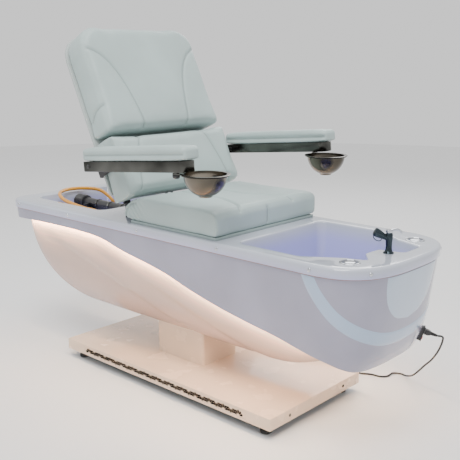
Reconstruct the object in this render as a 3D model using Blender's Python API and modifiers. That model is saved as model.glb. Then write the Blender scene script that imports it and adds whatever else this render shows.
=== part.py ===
"""Pedicure spa chair: a lifting hull with a foot basin, a reclining back and two swing arms.

Metres, +Z up. +X points to the foot basin and +Y to the sitter's left. The origin is on
the floor, under the middle of the base.
"""

import math

import bmesh
import bpy
from mathutils import Matrix, Vector

# ---------------------------------------------------------------- driving dimensions
GAP = 0.0003            # between faces that rest on each other
CLEARANCE = 0.0005      # round a piece that sits in a hole
SEGMENTS = 20           # sides of a turned piece

FOOT_HEIGHT = 0.036
FOOT_RADIUS = 0.022
BASE_LENGTH = 1.150
BASE_WIDTH = 0.550
BASE_HEIGHT = 0.046
BASE_SHEET = 0.0025
GRILLE_LENGTH = 0.930
GRILLE_HEIGHT = 0.026
GRILLE_HOLES = 12

COLUMN_X = -0.0485      # middle of the lifting column
COLUMN_LENGTH = 0.267
COLUMN_WIDTH = 0.200
COLUMN_WALL = 0.003
COLUMN_SLIP = 0.003     # running gap between two column stages
COLUMN_HEIGHT = 0.318
LIFT_STROKE = 0.250

HULL_LENGTH = 1.900     # over the rim
HULL_REAR = -0.950
HULL_WIDTH = 0.610
RIM_HEIGHT = 0.669      # top of the deck, chair lowered
LIP_HEIGHT = 0.035
LIP_PROUD = 0.006       # the deck's lip stands outside the casing
DECK_WALL = 0.006
TRIM_HEIGHT = 0.0022
CASING_WALL = 0.004
CASING_DRAFT = 0.13     # lean-in of the casing's nose for each metre of depth
CASING_TUCK = 0.108     # how far its bottom curls in
CASING_SIDE_SHARE = 0.61  # the sides lean in less than the nose
CASING_DEPTH = 0.415
NOSE_LENGTH = 0.250     # rounded front end of the plan outline
HULL_WALL = 0.004
HULL_TOP = 0.600
HULL_KEEL = 0.185
HULL_INSET = 0.033      # the lower hull stands back from the casing

BASIN_REAR = 0.395
BASIN_FRONT = 0.885
BASIN_HALF_WIDTH = 0.243
BASIN_FLOOR = 0.420
BAY_REAR = -0.865
BAY_FRONT = -0.400
BAY_HALF_WIDTH = 0.205
BAY_FLOOR = 0.588

SEAT_FRONT = 0.345
SEAT_REAR = -0.168
SEAT_WIDTH = 0.586
SEAT_PAN = 0.010
SEAT_THICKNESS = 0.0885

PIVOT_X = -0.190        # recline axis, along Y
PIVOT_Z = 0.705
LEAN = math.radians(26.0)
BACK_TOP = 0.731        # along the back, from the recline axis
BACK_JOINT = 0.275      # where the upper pad meets the lumbar pad
BACK_HALF_WIDTH = 0.310
BACK_FRONT = 0.1336     # face of the pads in front of the recline axis
BACK_BOTTOM = 0.018
BACK_REAR = 0.0
BACK_CORNER = 0.105
FRAME_PLATE = 0.008
BOARD = 0.011
HINGE_Y = 0.231         # middle of each hinge plate
HINGE_PLATE = 0.006
PIN_RADIUS = 0.008
PIN_PLAY = 0.0006

LEVER_REACH = 0.084     # recline lever, from the recline axis to its pin
LEVER_ANGLE = math.radians(243.0)
RECLINE_TRAVEL = math.radians(54.0)
MOTOR_X = -0.800
MOTOR_Z = 0.6302
MOTOR_TUBE_RADIUS = 0.022
ROD_RADIUS = 0.011

ARM_PIVOT_X = -0.180
ARM_PIVOT_Z = 0.894
ARM_TILT = math.radians(5.2)
ARM_INNER_Y = 0.345
ARM_PAD_WIDTH = 0.090
ARM_PAD_LENGTH = 0.553
ARM_PAD_THICKNESS = 0.050
ARM_PAD_REAR = -0.035   # behind the arm's pivot
ARM_BAR_WIDTH = 0.070
ARM_BAR_LENGTH = 0.530
ARM_BAR_REAR = -0.030
ARM_BAR_HEIGHT = 0.038
ARM_BAR_WALL = 0.003
ARM_MOUNT_PLATE = 0.006

BOWL_RADIUS = 0.085
BOWL_DEPTH = 0.076
BOWL_WALL = 0.0015
BOWL_RIM = 0.911        # height of the bowl's rim
BOWL_PLACE = (0.341, 0.342)
BOWL_AXIS = (0.252, 0.390)  # the upright axis the bowl swings on
HOLDER_PLATE = 0.004

CORD_DIAMETER = 0.007
COIL_MIDDLE_DIAMETER = 0.077
COIL_TURNS_ACROSS = 2
COIL_TURNS_HIGH = 2

NEAR, FAR = -1, 1       # the sitter's right (-Y) and left (+Y)
SIDES = (("near", NEAR), ("far", FAR))

# ---------------------------------------------------------------- finishes
FINISHES = {            # colour, roughness, metallic
    "cream_steel": ((0.86, 0.82, 0.76), 0.35, 0.2),
    "black_rubber": ((0.02, 0.02, 0.02), 0.7, 0.0),
    "black_steel": ((0.03, 0.03, 0.032), 0.45, 0.6),
    "white_gelcoat": ((0.83, 0.83, 0.86), 0.15, 0.0),
    "white_acrylic": ((0.90, 0.90, 0.93), 0.08, 0.0),
    "copper_trim": ((0.52, 0.33, 0.24), 0.35, 0.6),
    "led_diffuser": ((1.0, 0.93, 0.80), 0.4, 0.0),
    "mint_leather": ((0.55, 0.60, 0.59), 0.5, 0.0),
    "plywood": ((0.50, 0.38, 0.24), 0.7, 0.0),
    "stainless": ((0.72, 0.72, 0.72), 0.25, 1.0),
    "chrome": ((0.85, 0.85, 0.87), 0.06, 1.0),
    "black_plastic": ((0.02, 0.02, 0.022), 0.4, 0.0),
    "red_plastic": ((0.70, 0.03, 0.02), 0.3, 0.0),
    "orange_hose": ((0.85, 0.42, 0.03), 0.4, 0.0),
    "grey_plastic": ((0.45, 0.46, 0.48), 0.4, 0.0),
}


# ---------------------------------------------------------------- scene and helpers
def clear_scene():
    for obj in list(bpy.data.objects):
        bpy.data.objects.remove(obj, do_unlink=True)


def collection(name):
    made = bpy.data.collections.new(name)
    bpy.context.scene.collection.children.link(made)
    return made


clear_scene()
PARTS = collection("pedicure_spa_chair")
CUTTERS = collection("cutters")


def material(name, finish):
    colour, roughness, metallic = FINISHES[finish]
    made = bpy.data.materials.new(name)
    made.use_nodes = True
    shader = made.node_tree.nodes["Principled BSDF"]
    shader.inputs["Base Color"].default_value = (*colour, 1.0)
    shader.inputs["Roughness"].default_value = roughness
    shader.inputs["Metallic"].default_value = metallic
    return made


def part(name, mesh, finish, origin=(0, 0, 0)):
    """A sub-part from a mesh in world coordinates, with its origin where it turns or sits."""
    mesh.transform(Matrix.Translation(-Vector(origin)))
    mesh.materials.clear()
    mesh.materials.append(material(name, finish))
    obj = bpy.data.objects.new(name, mesh)
    obj.location = origin
    PARTS.objects.link(obj)
    return obj


def helper(name, mesh):
    """A cutter, or a piece that is joined to a sub-part."""
    obj = bpy.data.objects.new(name, mesh)
    obj.hide_render = True
    obj.display_type = "WIRE"
    CUTTERS.objects.link(obj)
    return obj


def boolean(obj, mesh, operation):
    tool = helper(f"{obj.name}_{operation.lower()}", mesh)
    modifier = obj.modifiers.new(operation.title(), "BOOLEAN")
    modifier.operation = operation
    modifier.object = tool
    modifier.solver = "EXACT"
    return obj


def cut(obj, mesh):
    return boolean(obj, mesh, "DIFFERENCE")


def join(obj, mesh):
    return boolean(obj, mesh, "UNION")


def finished_mesh(obj):
    """The evaluated mesh of a temporary object, which is then removed."""
    bpy.context.view_layer.update()
    graph = bpy.context.evaluated_depsgraph_get()
    mesh = bpy.data.meshes.new_from_object(obj.evaluated_get(graph))
    mesh.transform(obj.matrix_world)
    data = obj.data
    bpy.data.objects.remove(obj, do_unlink=True)
    if isinstance(data, bpy.types.Curve):
        bpy.data.curves.remove(data)
    welded = bmesh.new()
    welded.from_mesh(mesh)
    bmesh.ops.remove_doubles(welded, verts=welded.verts, dist=1e-6)
    bmesh.ops.recalc_face_normals(welded, faces=welded.faces)
    welded.to_mesh(mesh)
    welded.free()
    return mesh


def box(low, high, frame=None):
    made = bmesh.new()
    bmesh.ops.create_cube(made, size=1.0)
    low, high = Vector(low), Vector(high)
    size = Matrix.Diagonal((*(high - low), 1.0))
    bmesh.ops.transform(made, matrix=Matrix.Translation((low + high) / 2) @ size, verts=made.verts)
    mesh = bpy.data.meshes.new("box")
    made.to_mesh(mesh)
    made.free()
    if frame:
        mesh.transform(frame)
    return mesh


def cylinder(radius, low, high, frame=None, sides=SEGMENTS, top_radius=None):
    """Along the frame's Z, from low to high."""
    made = bmesh.new()
    end = radius if top_radius is None else top_radius
    bmesh.ops.create_cone(made, cap_ends=True, segments=sides, radius1=radius, radius2=end,
                          depth=high - low)
    bmesh.ops.translate(made, verts=made.verts, vec=(0, 0, (low + high) / 2))
    mesh = bpy.data.meshes.new("cylinder")
    made.to_mesh(mesh)
    made.free()
    if frame:
        mesh.transform(frame)
    return mesh


def slab(outline, low, high, frame=None):
    """A flat outline in the frame's XY plane, from low to high along its Z."""
    curve = bpy.data.curves.new("slab", "CURVE")
    curve.dimensions = "2D"
    curve.fill_mode = "BOTH"
    curve.extrude = (high - low) / 2
    spline = curve.splines.new("POLY")
    spline.points.add(len(outline) - 1)
    for point, (x, y) in zip(spline.points, outline):
        point.co = (x, y, 0, 1)
    spline.use_cyclic_u = True
    obj = bpy.data.objects.new("slab", curve)
    CUTTERS.objects.link(obj)
    mesh = finished_mesh(obj)
    mesh.transform((frame or Matrix()) @ Matrix.Translation((0, 0, (low + high) / 2)))
    return mesh


def turned(profile, frame=None, steps=SEGMENTS, closed=False):
    """A (radius, height) profile, top to bottom on its outer side, turned about Z."""
    mesh = bpy.data.meshes.new("turned")
    count = len(profile)
    edges = [(i, i + 1) for i in range(count - 1)] + ([(count - 1, 0)] if closed else [])
    mesh.from_pydata([(r, 0, z) for r, z in profile], edges, [])
    obj = bpy.data.objects.new("turned", mesh)
    CUTTERS.objects.link(obj)
    screw = obj.modifiers.new("Screw", "SCREW")
    screw.steps = screw.render_steps = steps
    screw.use_merge_vertices = True
    screw.merge_threshold = 0.00001
    made = finished_mesh(obj)
    if frame:
        made.transform(frame)
    return made


def tube(points, radius, resolution=2):
    """A round tube along a smooth path of points."""
    curve = bpy.data.curves.new("tube", "CURVE")
    curve.dimensions = "3D"
    curve.bevel_depth = radius
    curve.bevel_resolution = resolution
    curve.use_fill_caps = True
    spline = curve.splines.new("POLY")
    spline.points.add(len(points) - 1)
    for point, place in zip(spline.points, points):
        point.co = (*place, 1)
    obj = bpy.data.objects.new("tube", curve)
    CUTTERS.objects.link(obj)
    return finished_mesh(obj)


def loft(rings, caps=True):
    """Faces between rings that have the same number of points. Caps close both ends."""
    made = bmesh.new()
    rows = [[made.verts.new(p) for p in ring] for ring in rings]
    count = len(rings[0])
    for lower, upper in zip(rows, rows[1:]):
        for i in range(count):
            j = (i + 1) % count
            made.faces.new((lower[i], lower[j], upper[j], upper[i]))
    if caps:
        made.faces.new(rows[0])
        made.faces.new(rows[-1])
    bmesh.ops.recalc_face_normals(made, faces=made.faces)
    mesh = bpy.data.meshes.new("loft")
    made.to_mesh(mesh)
    made.free()
    return mesh


def shell(rings, wall, bottom=False):
    """A skin through the rings, given a wall on its inner side."""
    mesh = loft(rings, caps=False)
    made = bmesh.new()
    made.from_mesh(mesh)
    if bottom:
        made.verts.ensure_lookup_table()
        count = len(rings[0])
        made.faces.new(made.verts[-count:])
    bmesh.ops.recalc_face_normals(made, faces=made.faces)
    widest = max(made.faces, key=lambda f: abs(f.calc_center_median().y))
    if widest.normal.y * widest.calc_center_median().y < 0:
        bmesh.ops.reverse_faces(made, faces=made.faces)
    made.to_mesh(mesh)
    made.free()
    obj = bpy.data.objects.new("shell", mesh)
    CUTTERS.objects.link(obj)
    solid = obj.modifiers.new("Solidify", "SOLIDIFY")
    solid.thickness = wall
    solid.offset = -1.0
    return finished_mesh(obj)


def side_frame(y=0.0, origin=(0.0, 0.0), tilt=0.0):
    """Local X runs along the world's X, local Y up, local Z towards -Y; turned up by tilt."""
    place = Matrix.Translation((origin[0], y, origin[1]))
    return place @ Matrix.Rotation(-tilt, 4, "Y") @ Matrix.Rotation(math.pi / 2, 4, "X")


def arc(centre, radius, start, end, steps):
    """Points on a circle, from one angle to another in degrees."""
    angles = [math.radians(start + (end - start) * i / steps) for i in range(steps + 1)]
    return [(centre[0] + radius * math.cos(a), centre[1] + radius * math.sin(a)) for a in angles]


def rounded(corners, radius, steps=4):
    """A closed outline whose corners are rounded; radius may be one value or one each."""
    radii = radius if isinstance(radius, (list, tuple)) else [radius] * len(corners)
    outline = []
    for i, corner in enumerate(corners):
        here = Vector(corner)
        before = (Vector(corners[i - 1]) - here).normalized()
        after = (Vector(corners[(i + 1) % len(corners)]) - here).normalized()
        half = before.angle(after) / 2
        reach = radii[i] / math.tan(half)
        centre = here + (before + after).normalized() * radii[i] / math.sin(half)
        first, last = here + before * reach - centre, here + after * reach - centre
        turn = first.angle_signed(last)
        for k in range(steps + 1):
            spun = Matrix.Rotation(-turn * k / steps, 2) @ first
            outline.append(tuple(centre + spun))
    return outline


def smooth_path(route, spacing):
    """Evenly spaced points on a smooth curve through the route's points."""
    route = [Vector(p) for p in route]
    fine = []
    for i in range(len(route) - 1):
        before, start, end, after = (route[max(i - 1, 0)], route[i], route[i + 1],
                                     route[min(i + 2, len(route) - 1)])
        for k in range(24):
            t = k / 24
            fine.append(0.5 * ((2 * start) + (end - before) * t
                               + (2 * before - 5 * start + 4 * end - after) * t * t
                               + (3 * start - before - 3 * end + after) * t ** 3))
    fine.append(route[-1])
    length = sum((b - a).length for a, b in zip(fine, fine[1:]))
    count = max(2, round(length / spacing))
    points, walked, target = [fine[0]], 0.0, length / count
    for a, b in zip(fine, fine[1:]):
        step = (b - a).length
        while walked + step >= target * len(points) and len(points) < count:
            points.append(a.lerp(b, (target * len(points) - walked) / step))
        walked += step
    points.append(fine[-1])
    return points


def polyline(table, x):
    """The value at x of a line through the table's (x, value) points."""
    for (x0, v0), (x1, v1) in zip(table, table[1:]):
        if x <= x1:
            return v0 + (v1 - v0) * max(0.0, (x - x0) / (x1 - x0))
    return table[-1][1]


# ---------------------------------------------------------------- shared shapes
BASE_TOP = FOOT_HEIGHT + BASE_HEIGHT
LIP_BOTTOM = RIM_HEIGHT - LIP_HEIGHT
TRIM_BOTTOM = LIP_BOTTOM - GAP - TRIM_HEIGHT
CASING_TOP = TRIM_BOTTOM - GAP
HULL_FRONT = HULL_REAR + HULL_LENGTH
HALF_WIDTH = HULL_WIDTH / 2
PIVOT = Vector((PIVOT_X, 0.0, PIVOT_Z))
ROD_DIRECTION = Vector((PIVOT_X + LEVER_REACH * math.cos(LEVER_ANGLE) - MOTOR_X, 0.0,
                        PIVOT_Z + LEVER_REACH * math.sin(LEVER_ANGLE) - MOTOR_Z)).normalized()

# height of the casing's lower edge along the side, which the light strip follows
CASING_EDGE = (
    (-1.00, 0.583), (-0.62, 0.593), (-0.36, 0.590), (-0.26, 0.577), (-0.18, 0.556),
    (0.07, 0.508), (0.20, 0.469), (0.34, 0.434), (0.48, 0.407), (0.60, 0.387),
    (0.69, 0.366), (0.79, 0.345), (0.82, 0.336), (0.85, 0.326), (0.88, 0.316),
    (0.905, 0.309), (0.93, 0.306), (0.95, 0.305),
)
LIGHT_END = 0.770


def plan_outline(inset, rear=HULL_REAR, front=None, half=HALF_WIDTH, nose=NOSE_LENGTH,
                 corner=0.090, steps=9, straight_steps=11):
    """Plan of the hull: straight sides, rounded rear corners and a full, rounded nose.

    Points run from the rear's middle along -Y, round the nose and back along +Y.
    """
    front = HULL_FRONT if front is None else front
    rear, front, half = rear + inset, front - inset, half - inset
    corner = min(max(corner - inset, 0.004), half * 0.95)
    nose = min(nose, (front - rear) / 2)
    side = [(rear, -(half - corner) * k / 2) for k in range(2)]
    side += [(rear + corner * (1 - math.cos(a)), -(half - corner) - corner * math.sin(a))
             for a in (math.pi / 2 * k / 4 for k in range(5))]
    straight = front - nose - rear - corner
    side += [(rear + corner + straight * k / straight_steps, -half)
             for k in range(1, straight_steps + 1)]
    for k in range(1, steps + 1):
        a = math.pi / 2 * k / steps
        side.append((front - nose + nose * math.sin(a) ** (2 / 3),
                     -half * math.cos(a) ** (2 / 3)))
    side[-1] = (front, 0.0)
    return side + [(x, -y) for x, y in reversed(side[1:-1])]


def casing_inset(depth, normal):
    """How far the casing leans in at a depth below its top, where its plan faces normal."""
    share = CASING_SIDE_SHARE + (1 - CASING_SIDE_SHARE) * max(0.0, normal.x) ** 2
    return share * (CASING_DRAFT * depth + CASING_TUCK * (depth / CASING_DEPTH) ** 6)


def casing_edge(x):
    """Height of the casing's lower edge at a place along the rim."""
    return polyline(CASING_EDGE, x)


def outward(outline):
    """The unit normal of a plan outline at each of its points."""
    normals = []
    for i in range(len(outline)):
        a, b = Vector(outline[i - 1]), Vector(outline[(i + 1) % len(outline)])
        along = (b - a).normalized()
        normals.append(Vector((along.y, -along.x)))
    return normals


def back_frame_matrix():
    """Local X forward of the recline axis, local Y along the back, local Z towards -Y."""
    return (Matrix.Translation(PIVOT) @ Matrix.Rotation(-LEAN, 4, "Y")
            @ Matrix.Rotation(math.pi / 2, 4, "X"))


def arm_matrix(side):
    """Local X along the arm, local Y across it away from the sitter, local Z up."""
    middle = side * (ARM_INNER_Y + ARM_PAD_WIDTH / 2)
    turn = Matrix.Translation((ARM_PIVOT_X, middle, ARM_PIVOT_Z))
    turn = turn @ Matrix.Rotation(-ARM_TILT, 4, "Y")
    return turn @ Matrix.Diagonal((1.0, side, 1.0, 1.0))


def mirrored(mesh, frame):
    """Moves a mesh by a frame and keeps its faces pointing out when the frame mirrors."""
    mesh.transform(frame)
    if frame.determinant() < 0:
        mesh.flip_normals()
    return mesh


# ---------------------------------------------------------------- base
def base():
    half_l, half_w = BASE_LENGTH / 2, BASE_WIDTH / 2
    tray = part("base_tray", box((-half_l, -half_w, FOOT_HEIGHT), (half_l, half_w, BASE_TOP)),
                "cream_steel", (0, 0, BASE_TOP))
    cut(tray, box((-half_l + BASE_SHEET, -half_w + BASE_SHEET, FOOT_HEIGHT - 0.01),
                  (half_l - BASE_SHEET, half_w - BASE_SHEET, BASE_TOP - BASE_SHEET)))
    middle = FOOT_HEIGHT + BASE_HEIGHT / 2
    window = box((-GRILLE_LENGTH / 2, -half_w - 0.01, middle - GRILLE_HEIGHT / 2),
                 (GRILLE_LENGTH / 2, half_w + 0.01, middle + GRILLE_HEIGHT / 2))
    cut(tray, window)
    inner = BASE_SHEET + GAP
    floor_top = FOOT_HEIGHT + BASE_SHEET
    part("base_bottom_plate",
         box((-half_l + inner, -half_w + inner, FOOT_HEIGHT), (half_l - inner, half_w - inner,
                                                              floor_top)),
         "cream_steel", (0, 0, FOOT_HEIGHT))
    for name, side in SIDES:
        outer_face = side * (half_w - GAP)
        inner_face = side * (half_w - BASE_SHEET + GAP)
        low_y, high_y = sorted((outer_face, inner_face))
        reach, tall = GRILLE_LENGTH / 2 - CLEARANCE, GRILLE_HEIGHT / 2 - CLEARANCE
        grille = part(f"vent_grille_{name}",
                      box((-reach, low_y, middle - tall), (reach, high_y, middle + tall)),
                      "cream_steel", (0, side * half_w, middle))
        pitch = GRILLE_LENGTH / GRILLE_HOLES
        holes = [((i + 0.5 - GRILLE_HOLES / 2) * pitch) for i in range(GRILLE_HOLES)]
        for x in holes:
            cut(grille, cylinder(GRILLE_HEIGHT * 0.36, -0.01, 0.01,
                                 side_frame(side * half_w, (x, middle)), sides=6))
    for end, x in (("rear", -1), ("front", 1)):
        for name, side in SIDES:
            place = (x * (half_l - 0.055), side * (half_w - 0.045), 0)
            profile = [(0, FOOT_HEIGHT - GAP), (0.009, FOOT_HEIGHT - GAP), (0.009, 0.020),
                       (FOOT_RADIUS, 0.015), (FOOT_RADIUS, 0.0), (0, 0.0)]
            part(f"foot_{end}_{name}", turned(profile, Matrix.Translation(place), 16),
                 "black_rubber", place)


# ---------------------------------------------------------------- lifting column
def column_stage(name, shrink, low, high):
    length, width = COLUMN_LENGTH - 2 * shrink, COLUMN_WIDTH - 2 * shrink
    outer = box((COLUMN_X - length / 2, -width / 2, low), (COLUMN_X + length / 2, width / 2, high))
    stage = part(name, outer, "cream_steel", (COLUMN_X, 0, low))
    wall = COLUMN_WALL
    cut(stage, box((COLUMN_X - length / 2 + wall, -width / 2 + wall, low - 0.01),
                   (COLUMN_X + length / 2 - wall, width / 2 - wall, high + 0.01)))
    return stage


def column():
    step = COLUMN_WALL + COLUMN_SLIP
    bottom = BASE_TOP + GAP
    column_stage("column_outer", 0.0, bottom, bottom + COLUMN_HEIGHT)
    column_stage("column_middle", step, bottom + 0.012, bottom + COLUMN_HEIGHT + 0.095)
    column_stage("column_inner", 2 * step, bottom + 0.024, HULL_TOP - GAP)
    body_top = bottom + COLUMN_HEIGHT + 0.010
    rod_radius = 0.014
    lower = Matrix.Translation((COLUMN_X, 0, 0))
    bore = rod_radius + 0.002
    profile = [(0, bottom + 0.010), (bore, bottom + 0.010), (bore, body_top), (0.030, body_top),
               (0.030, bottom), (0, bottom)]
    part("lift_actuator_body", turned(profile, lower, 16), "black_steel",
         (COLUMN_X, 0, bottom))
    part("lift_actuator_rod", cylinder(rod_radius, bottom + 0.020, HULL_TOP - GAP, lower, 16),
         "stainless", (COLUMN_X, 0, bottom + 0.020))


# ---------------------------------------------------------------- hull
def casing():
    outline = plan_outline(LIP_PROUD)
    normals = outward(outline)
    rows = []
    row_count = 5
    for row in range(row_count + 1):
        ring = []
        for (x, y), normal in zip(outline, normals):
            drop = CASING_TOP - casing_edge(x)
            share = row / row_count
            depth = drop * (1 - (1 - share) ** 1.5)
            inset = casing_inset(depth, normal)
            ring.append((x - normal.x * inset, y - normal.y * inset, CASING_TOP - depth))
        rows.append(ring)
    made = part("hull_casing", shell(rows, CASING_WALL), "white_gelcoat", (0, 0, CASING_TOP))
    frame = inlet_frame()
    half_w, half_h = INLET_WIDTH / 2 + CLEARANCE, INLET_HEIGHT / 2 + CLEARANCE
    cut(made, box((-half_w, -half_h, -0.05), (half_w, half_h, 0.05), frame))
    return made


def lower_hull():
    rings = []
    depth = HULL_TOP - HULL_KEEL
    for level in range(6):
        angle = math.radians(82) * level / 5
        narrow = math.cos(angle)
        ring = plan_outline(0, rear=HULL_REAR + 0.040 + 0.40 * (1 - narrow),
                            front=0.900 - 0.56 * (1 - narrow),
                            half=(HALF_WIDTH - HULL_INSET) * narrow,
                            nose=NOSE_LENGTH * (0.4 + 0.6 * narrow), corner=0.12 * narrow + 0.01,
                            steps=5, straight_steps=5)
        rings.append([(x, y, HULL_TOP - depth * math.sin(angle)) for x, y in ring])
    made = part("lower_hull", shell(rings, HULL_WALL, bottom=True), "white_gelcoat",
                (0, 0, HULL_KEEL))
    length, width = COLUMN_LENGTH / 2 + 0.006, COLUMN_WIDTH / 2 + 0.006
    cut(made, box((COLUMN_X - length, -width, 0.1), (COLUMN_X + length, width, 0.4)))
    return made


def basin_outline(grow=0.0):
    """The basin's mouth, with the ledge that carries the faucet."""
    rear, front, half = BASIN_REAR, BASIN_FRONT, BASIN_HALF_WIDTH
    corners = [(rear, -half), (0.660, -half), (0.777, -0.165), (0.852, -0.140), (0.797, -0.070),
               (0.800, 0.004), (front, 0.022), (front, 0.128), (0.777, 0.165), (0.660, half),
               (rear, half)]
    radii = [0.035, 0.050, 0.040, 0.012, 0.014, 0.014, 0.014, 0.025, 0.040, 0.050, 0.035]
    outline = rounded(corners, radii, 3)
    return [(x + n.x * grow, y + n.y * grow) for (x, y), n in zip(outline, outward(outline))]


def bay_outline(grow=0.0, shrink=0.0):
    """The rear service bay, narrower at its floor by shrink."""
    rear, front = BAY_REAR - grow + shrink, BAY_FRONT + grow - shrink / 2
    half = BAY_HALF_WIDTH + grow - shrink
    return rounded([(rear, -half), (front, -half), (front, half), (rear, half)], 0.035, 3)


def well(top, bottom, low, high):
    """A tapered prism from one outline to another with as many points."""
    return loft([[(x, y, low) for x, y in bottom], [(x, y, high) for x, y in top]])


def prism(outline, low, high):
    return well(outline, outline, low, high)


def scaled(outline, share, centre):
    return [(centre[0] + (x - centre[0]) * share, centre[1] + (y - centre[1]) * share)
            for x, y in outline]


BASIN_MIDDLE = ((BASIN_REAR + BASIN_FRONT) / 2 - 0.07, 0.0)
BASIN_TAPER = 0.78
LEVER_SLOT = (-0.300, -0.095)
KNOB_PLACE = (0.825, 0.203)
FAUCET_PLACE = (0.852, -0.020)
FAUCET_YAW = math.radians(42)
DRAIN_PLACE = (0.600, 0.0)
CUP_RADIUS = 0.028
CUP_DEPTH = 0.016


def deck():
    top = RIM_HEIGHT
    made = part("deck_moulding", prism(plan_outline(0), LIP_BOTTOM, top), "white_acrylic",
                (0, 0, top))
    cut(made, prism(plan_outline(DECK_WALL), LIP_BOTTOM - 0.01, top - DECK_WALL))
    outer = basin_outline(DECK_WALL)
    join(made, well(outer, scaled(outer, BASIN_TAPER, BASIN_MIDDLE),
                    BASIN_FLOOR - DECK_WALL, top - 0.002))
    inner = basin_outline()
    slope = (1 - BASIN_TAPER) / (top - BASIN_FLOOR)
    cut(made, well(scaled(inner, 1 + slope * 0.01, BASIN_MIDDLE),
                   scaled(inner, BASIN_TAPER, BASIN_MIDDLE), BASIN_FLOOR, top + 0.01))
    join(made, well(bay_outline(DECK_WALL), bay_outline(DECK_WALL, 0.028),
                    BAY_FLOOR - DECK_WALL, top - 0.002))
    cut(made, well(bay_outline(), bay_outline(0, 0.028), BAY_FLOOR, top + 0.0001))
    for _, side in SIDES:
        knob = Matrix.Translation((KNOB_PLACE[0], side * KNOB_PLACE[1], 0))
        join(made, cylinder(CUP_RADIUS + DECK_WALL / 2, top - CUP_DEPTH - DECK_WALL / 2,
                            top - 0.002, knob))
        cut(made, cylinder(CUP_RADIUS, top - CUP_DEPTH, top + 0.01, knob))
    cut(made, box((LEVER_SLOT[0], -0.024, top - 0.03), (LEVER_SLOT[1], 0.024, top + 0.01)))
    along = rod_frame(BAY_FRONT)
    cut(made, cylinder(MOTOR_TUBE_RADIUS * 0.8, -0.06, 0.06, along))
    cut(made, cylinder(0.022, BASIN_FLOOR - 0.02, BASIN_FLOOR + 0.02,
                       Matrix.Translation((*DRAIN_PLACE, 0))))
    cut(made, cylinder(0.0125, top - 0.02, top + 0.01,
                       Matrix.Translation((*FAUCET_PLACE, 0)), 16))
    return made


def light_strips():
    """A light tube behind each lower edge of the casing."""
    outline = plan_outline(LIP_PROUD)
    rim = [(x, -y) for x, y in outline[:len(outline) // 2 + 1]]
    start, end = HULL_REAR + 0.110, LIGHT_END
    places = [start + (end - start) * k / 22 for k in range(23)]
    for name, side in SIDES:
        route = []
        for x in places:
            edge = casing_edge(x)
            inset = casing_inset(CASING_TOP - edge, Vector((0, side))) + CASING_WALL + 0.010
            route.append((x, side * (polyline(rim, x) - inset), edge + 0.012))
        part(f"light_strip_{name}", tube(route, 0.004, 1), "led_diffuser", route[0])


def seat_frame():
    low, high = HULL_TOP, RIM_HEIGHT - DECK_WALL - GAP
    rear, front, half, bar = -0.340, 0.370, 0.212, 0.040
    made = part("seat_frame", box((rear, -half, low), (front, half, high)), "black_steel",
                (COLUMN_X, 0, low))
    middle, half_bridge = COLUMN_X, 0.085
    cut(made, box((rear + bar, -half + bar, low + 0.012), (front - bar, half - bar, high + 0.01)))
    ledge = 0.002
    for start, end in ((rear + bar + ledge, middle - half_bridge),
                       (middle + half_bridge, front - bar - ledge)):
        cut(made, box((start, -half + bar + ledge, low - 0.01),
                      (end, half - bar - ledge, low + 0.020)))
    cut(made, box((rear - 0.01, -0.034, low - 0.01), (LEVER_SLOT[1] + 0.040, 0.034,
                                                      high + 0.01)))
    return made


def seat():
    pan_low = RIM_HEIGHT + GAP
    pan_high = pan_low + SEAT_PAN
    half = SEAT_WIDTH / 2
    part("seat_pan", box((SEAT_REAR + 0.048, -half + 0.012, pan_low),
                         (SEAT_FRONT - 0.015, half - 0.012, pan_high)),
         "plywood", (0.12, 0, pan_low))
    low = pan_high + GAP
    top = low + SEAT_THICKNESS
    profile = [(SEAT_REAR + 0.003, low), (SEAT_FRONT - 0.006, low), (SEAT_FRONT, low + 0.010),
               (SEAT_FRONT, top - 0.022), (SEAT_FRONT - 0.010, top - 0.006),
               (SEAT_FRONT - 0.030, top), (SEAT_REAR + 0.108, top),
               (SEAT_REAR + 0.058, top - 0.013), (SEAT_REAR + 0.013, top - 0.043),
               (SEAT_REAR, low + 0.015)]
    part("seat_cushion", slab(profile, -half, half, side_frame()), "mint_leather",
         (0.12, 0, low))


# ---------------------------------------------------------------- backrest
def pivot_brackets():
    for name, side in SIDES:
        inner = HINGE_Y - HINGE_PLATE / 2 - 0.0015
        outer = inner - 0.006
        reach = side_frame()
        ear = arc((PIVOT_X, PIVOT_Z), 0.018, 0, 180, 8)
        ear += [(PIVOT_X - 0.026, RIM_HEIGHT + GAP), (PIVOT_X + 0.018, RIM_HEIGHT + GAP)]
        low, high = sorted((-side * outer, -side * inner))
        plate = part(f"pivot_bracket_{name}", slab(ear, low, high, reach), "black_steel",
                     (PIVOT_X, side * inner, PIVOT_Z))
        pin_low, pin_high = sorted((-side * (outer + 0.001),
                                    -side * (HINGE_Y + HINGE_PLATE / 2 + 0.004)))
        join(plate, cylinder(PIN_RADIUS, pin_low, pin_high, side_frame(0, (PIVOT_X, PIVOT_Z))))


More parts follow.
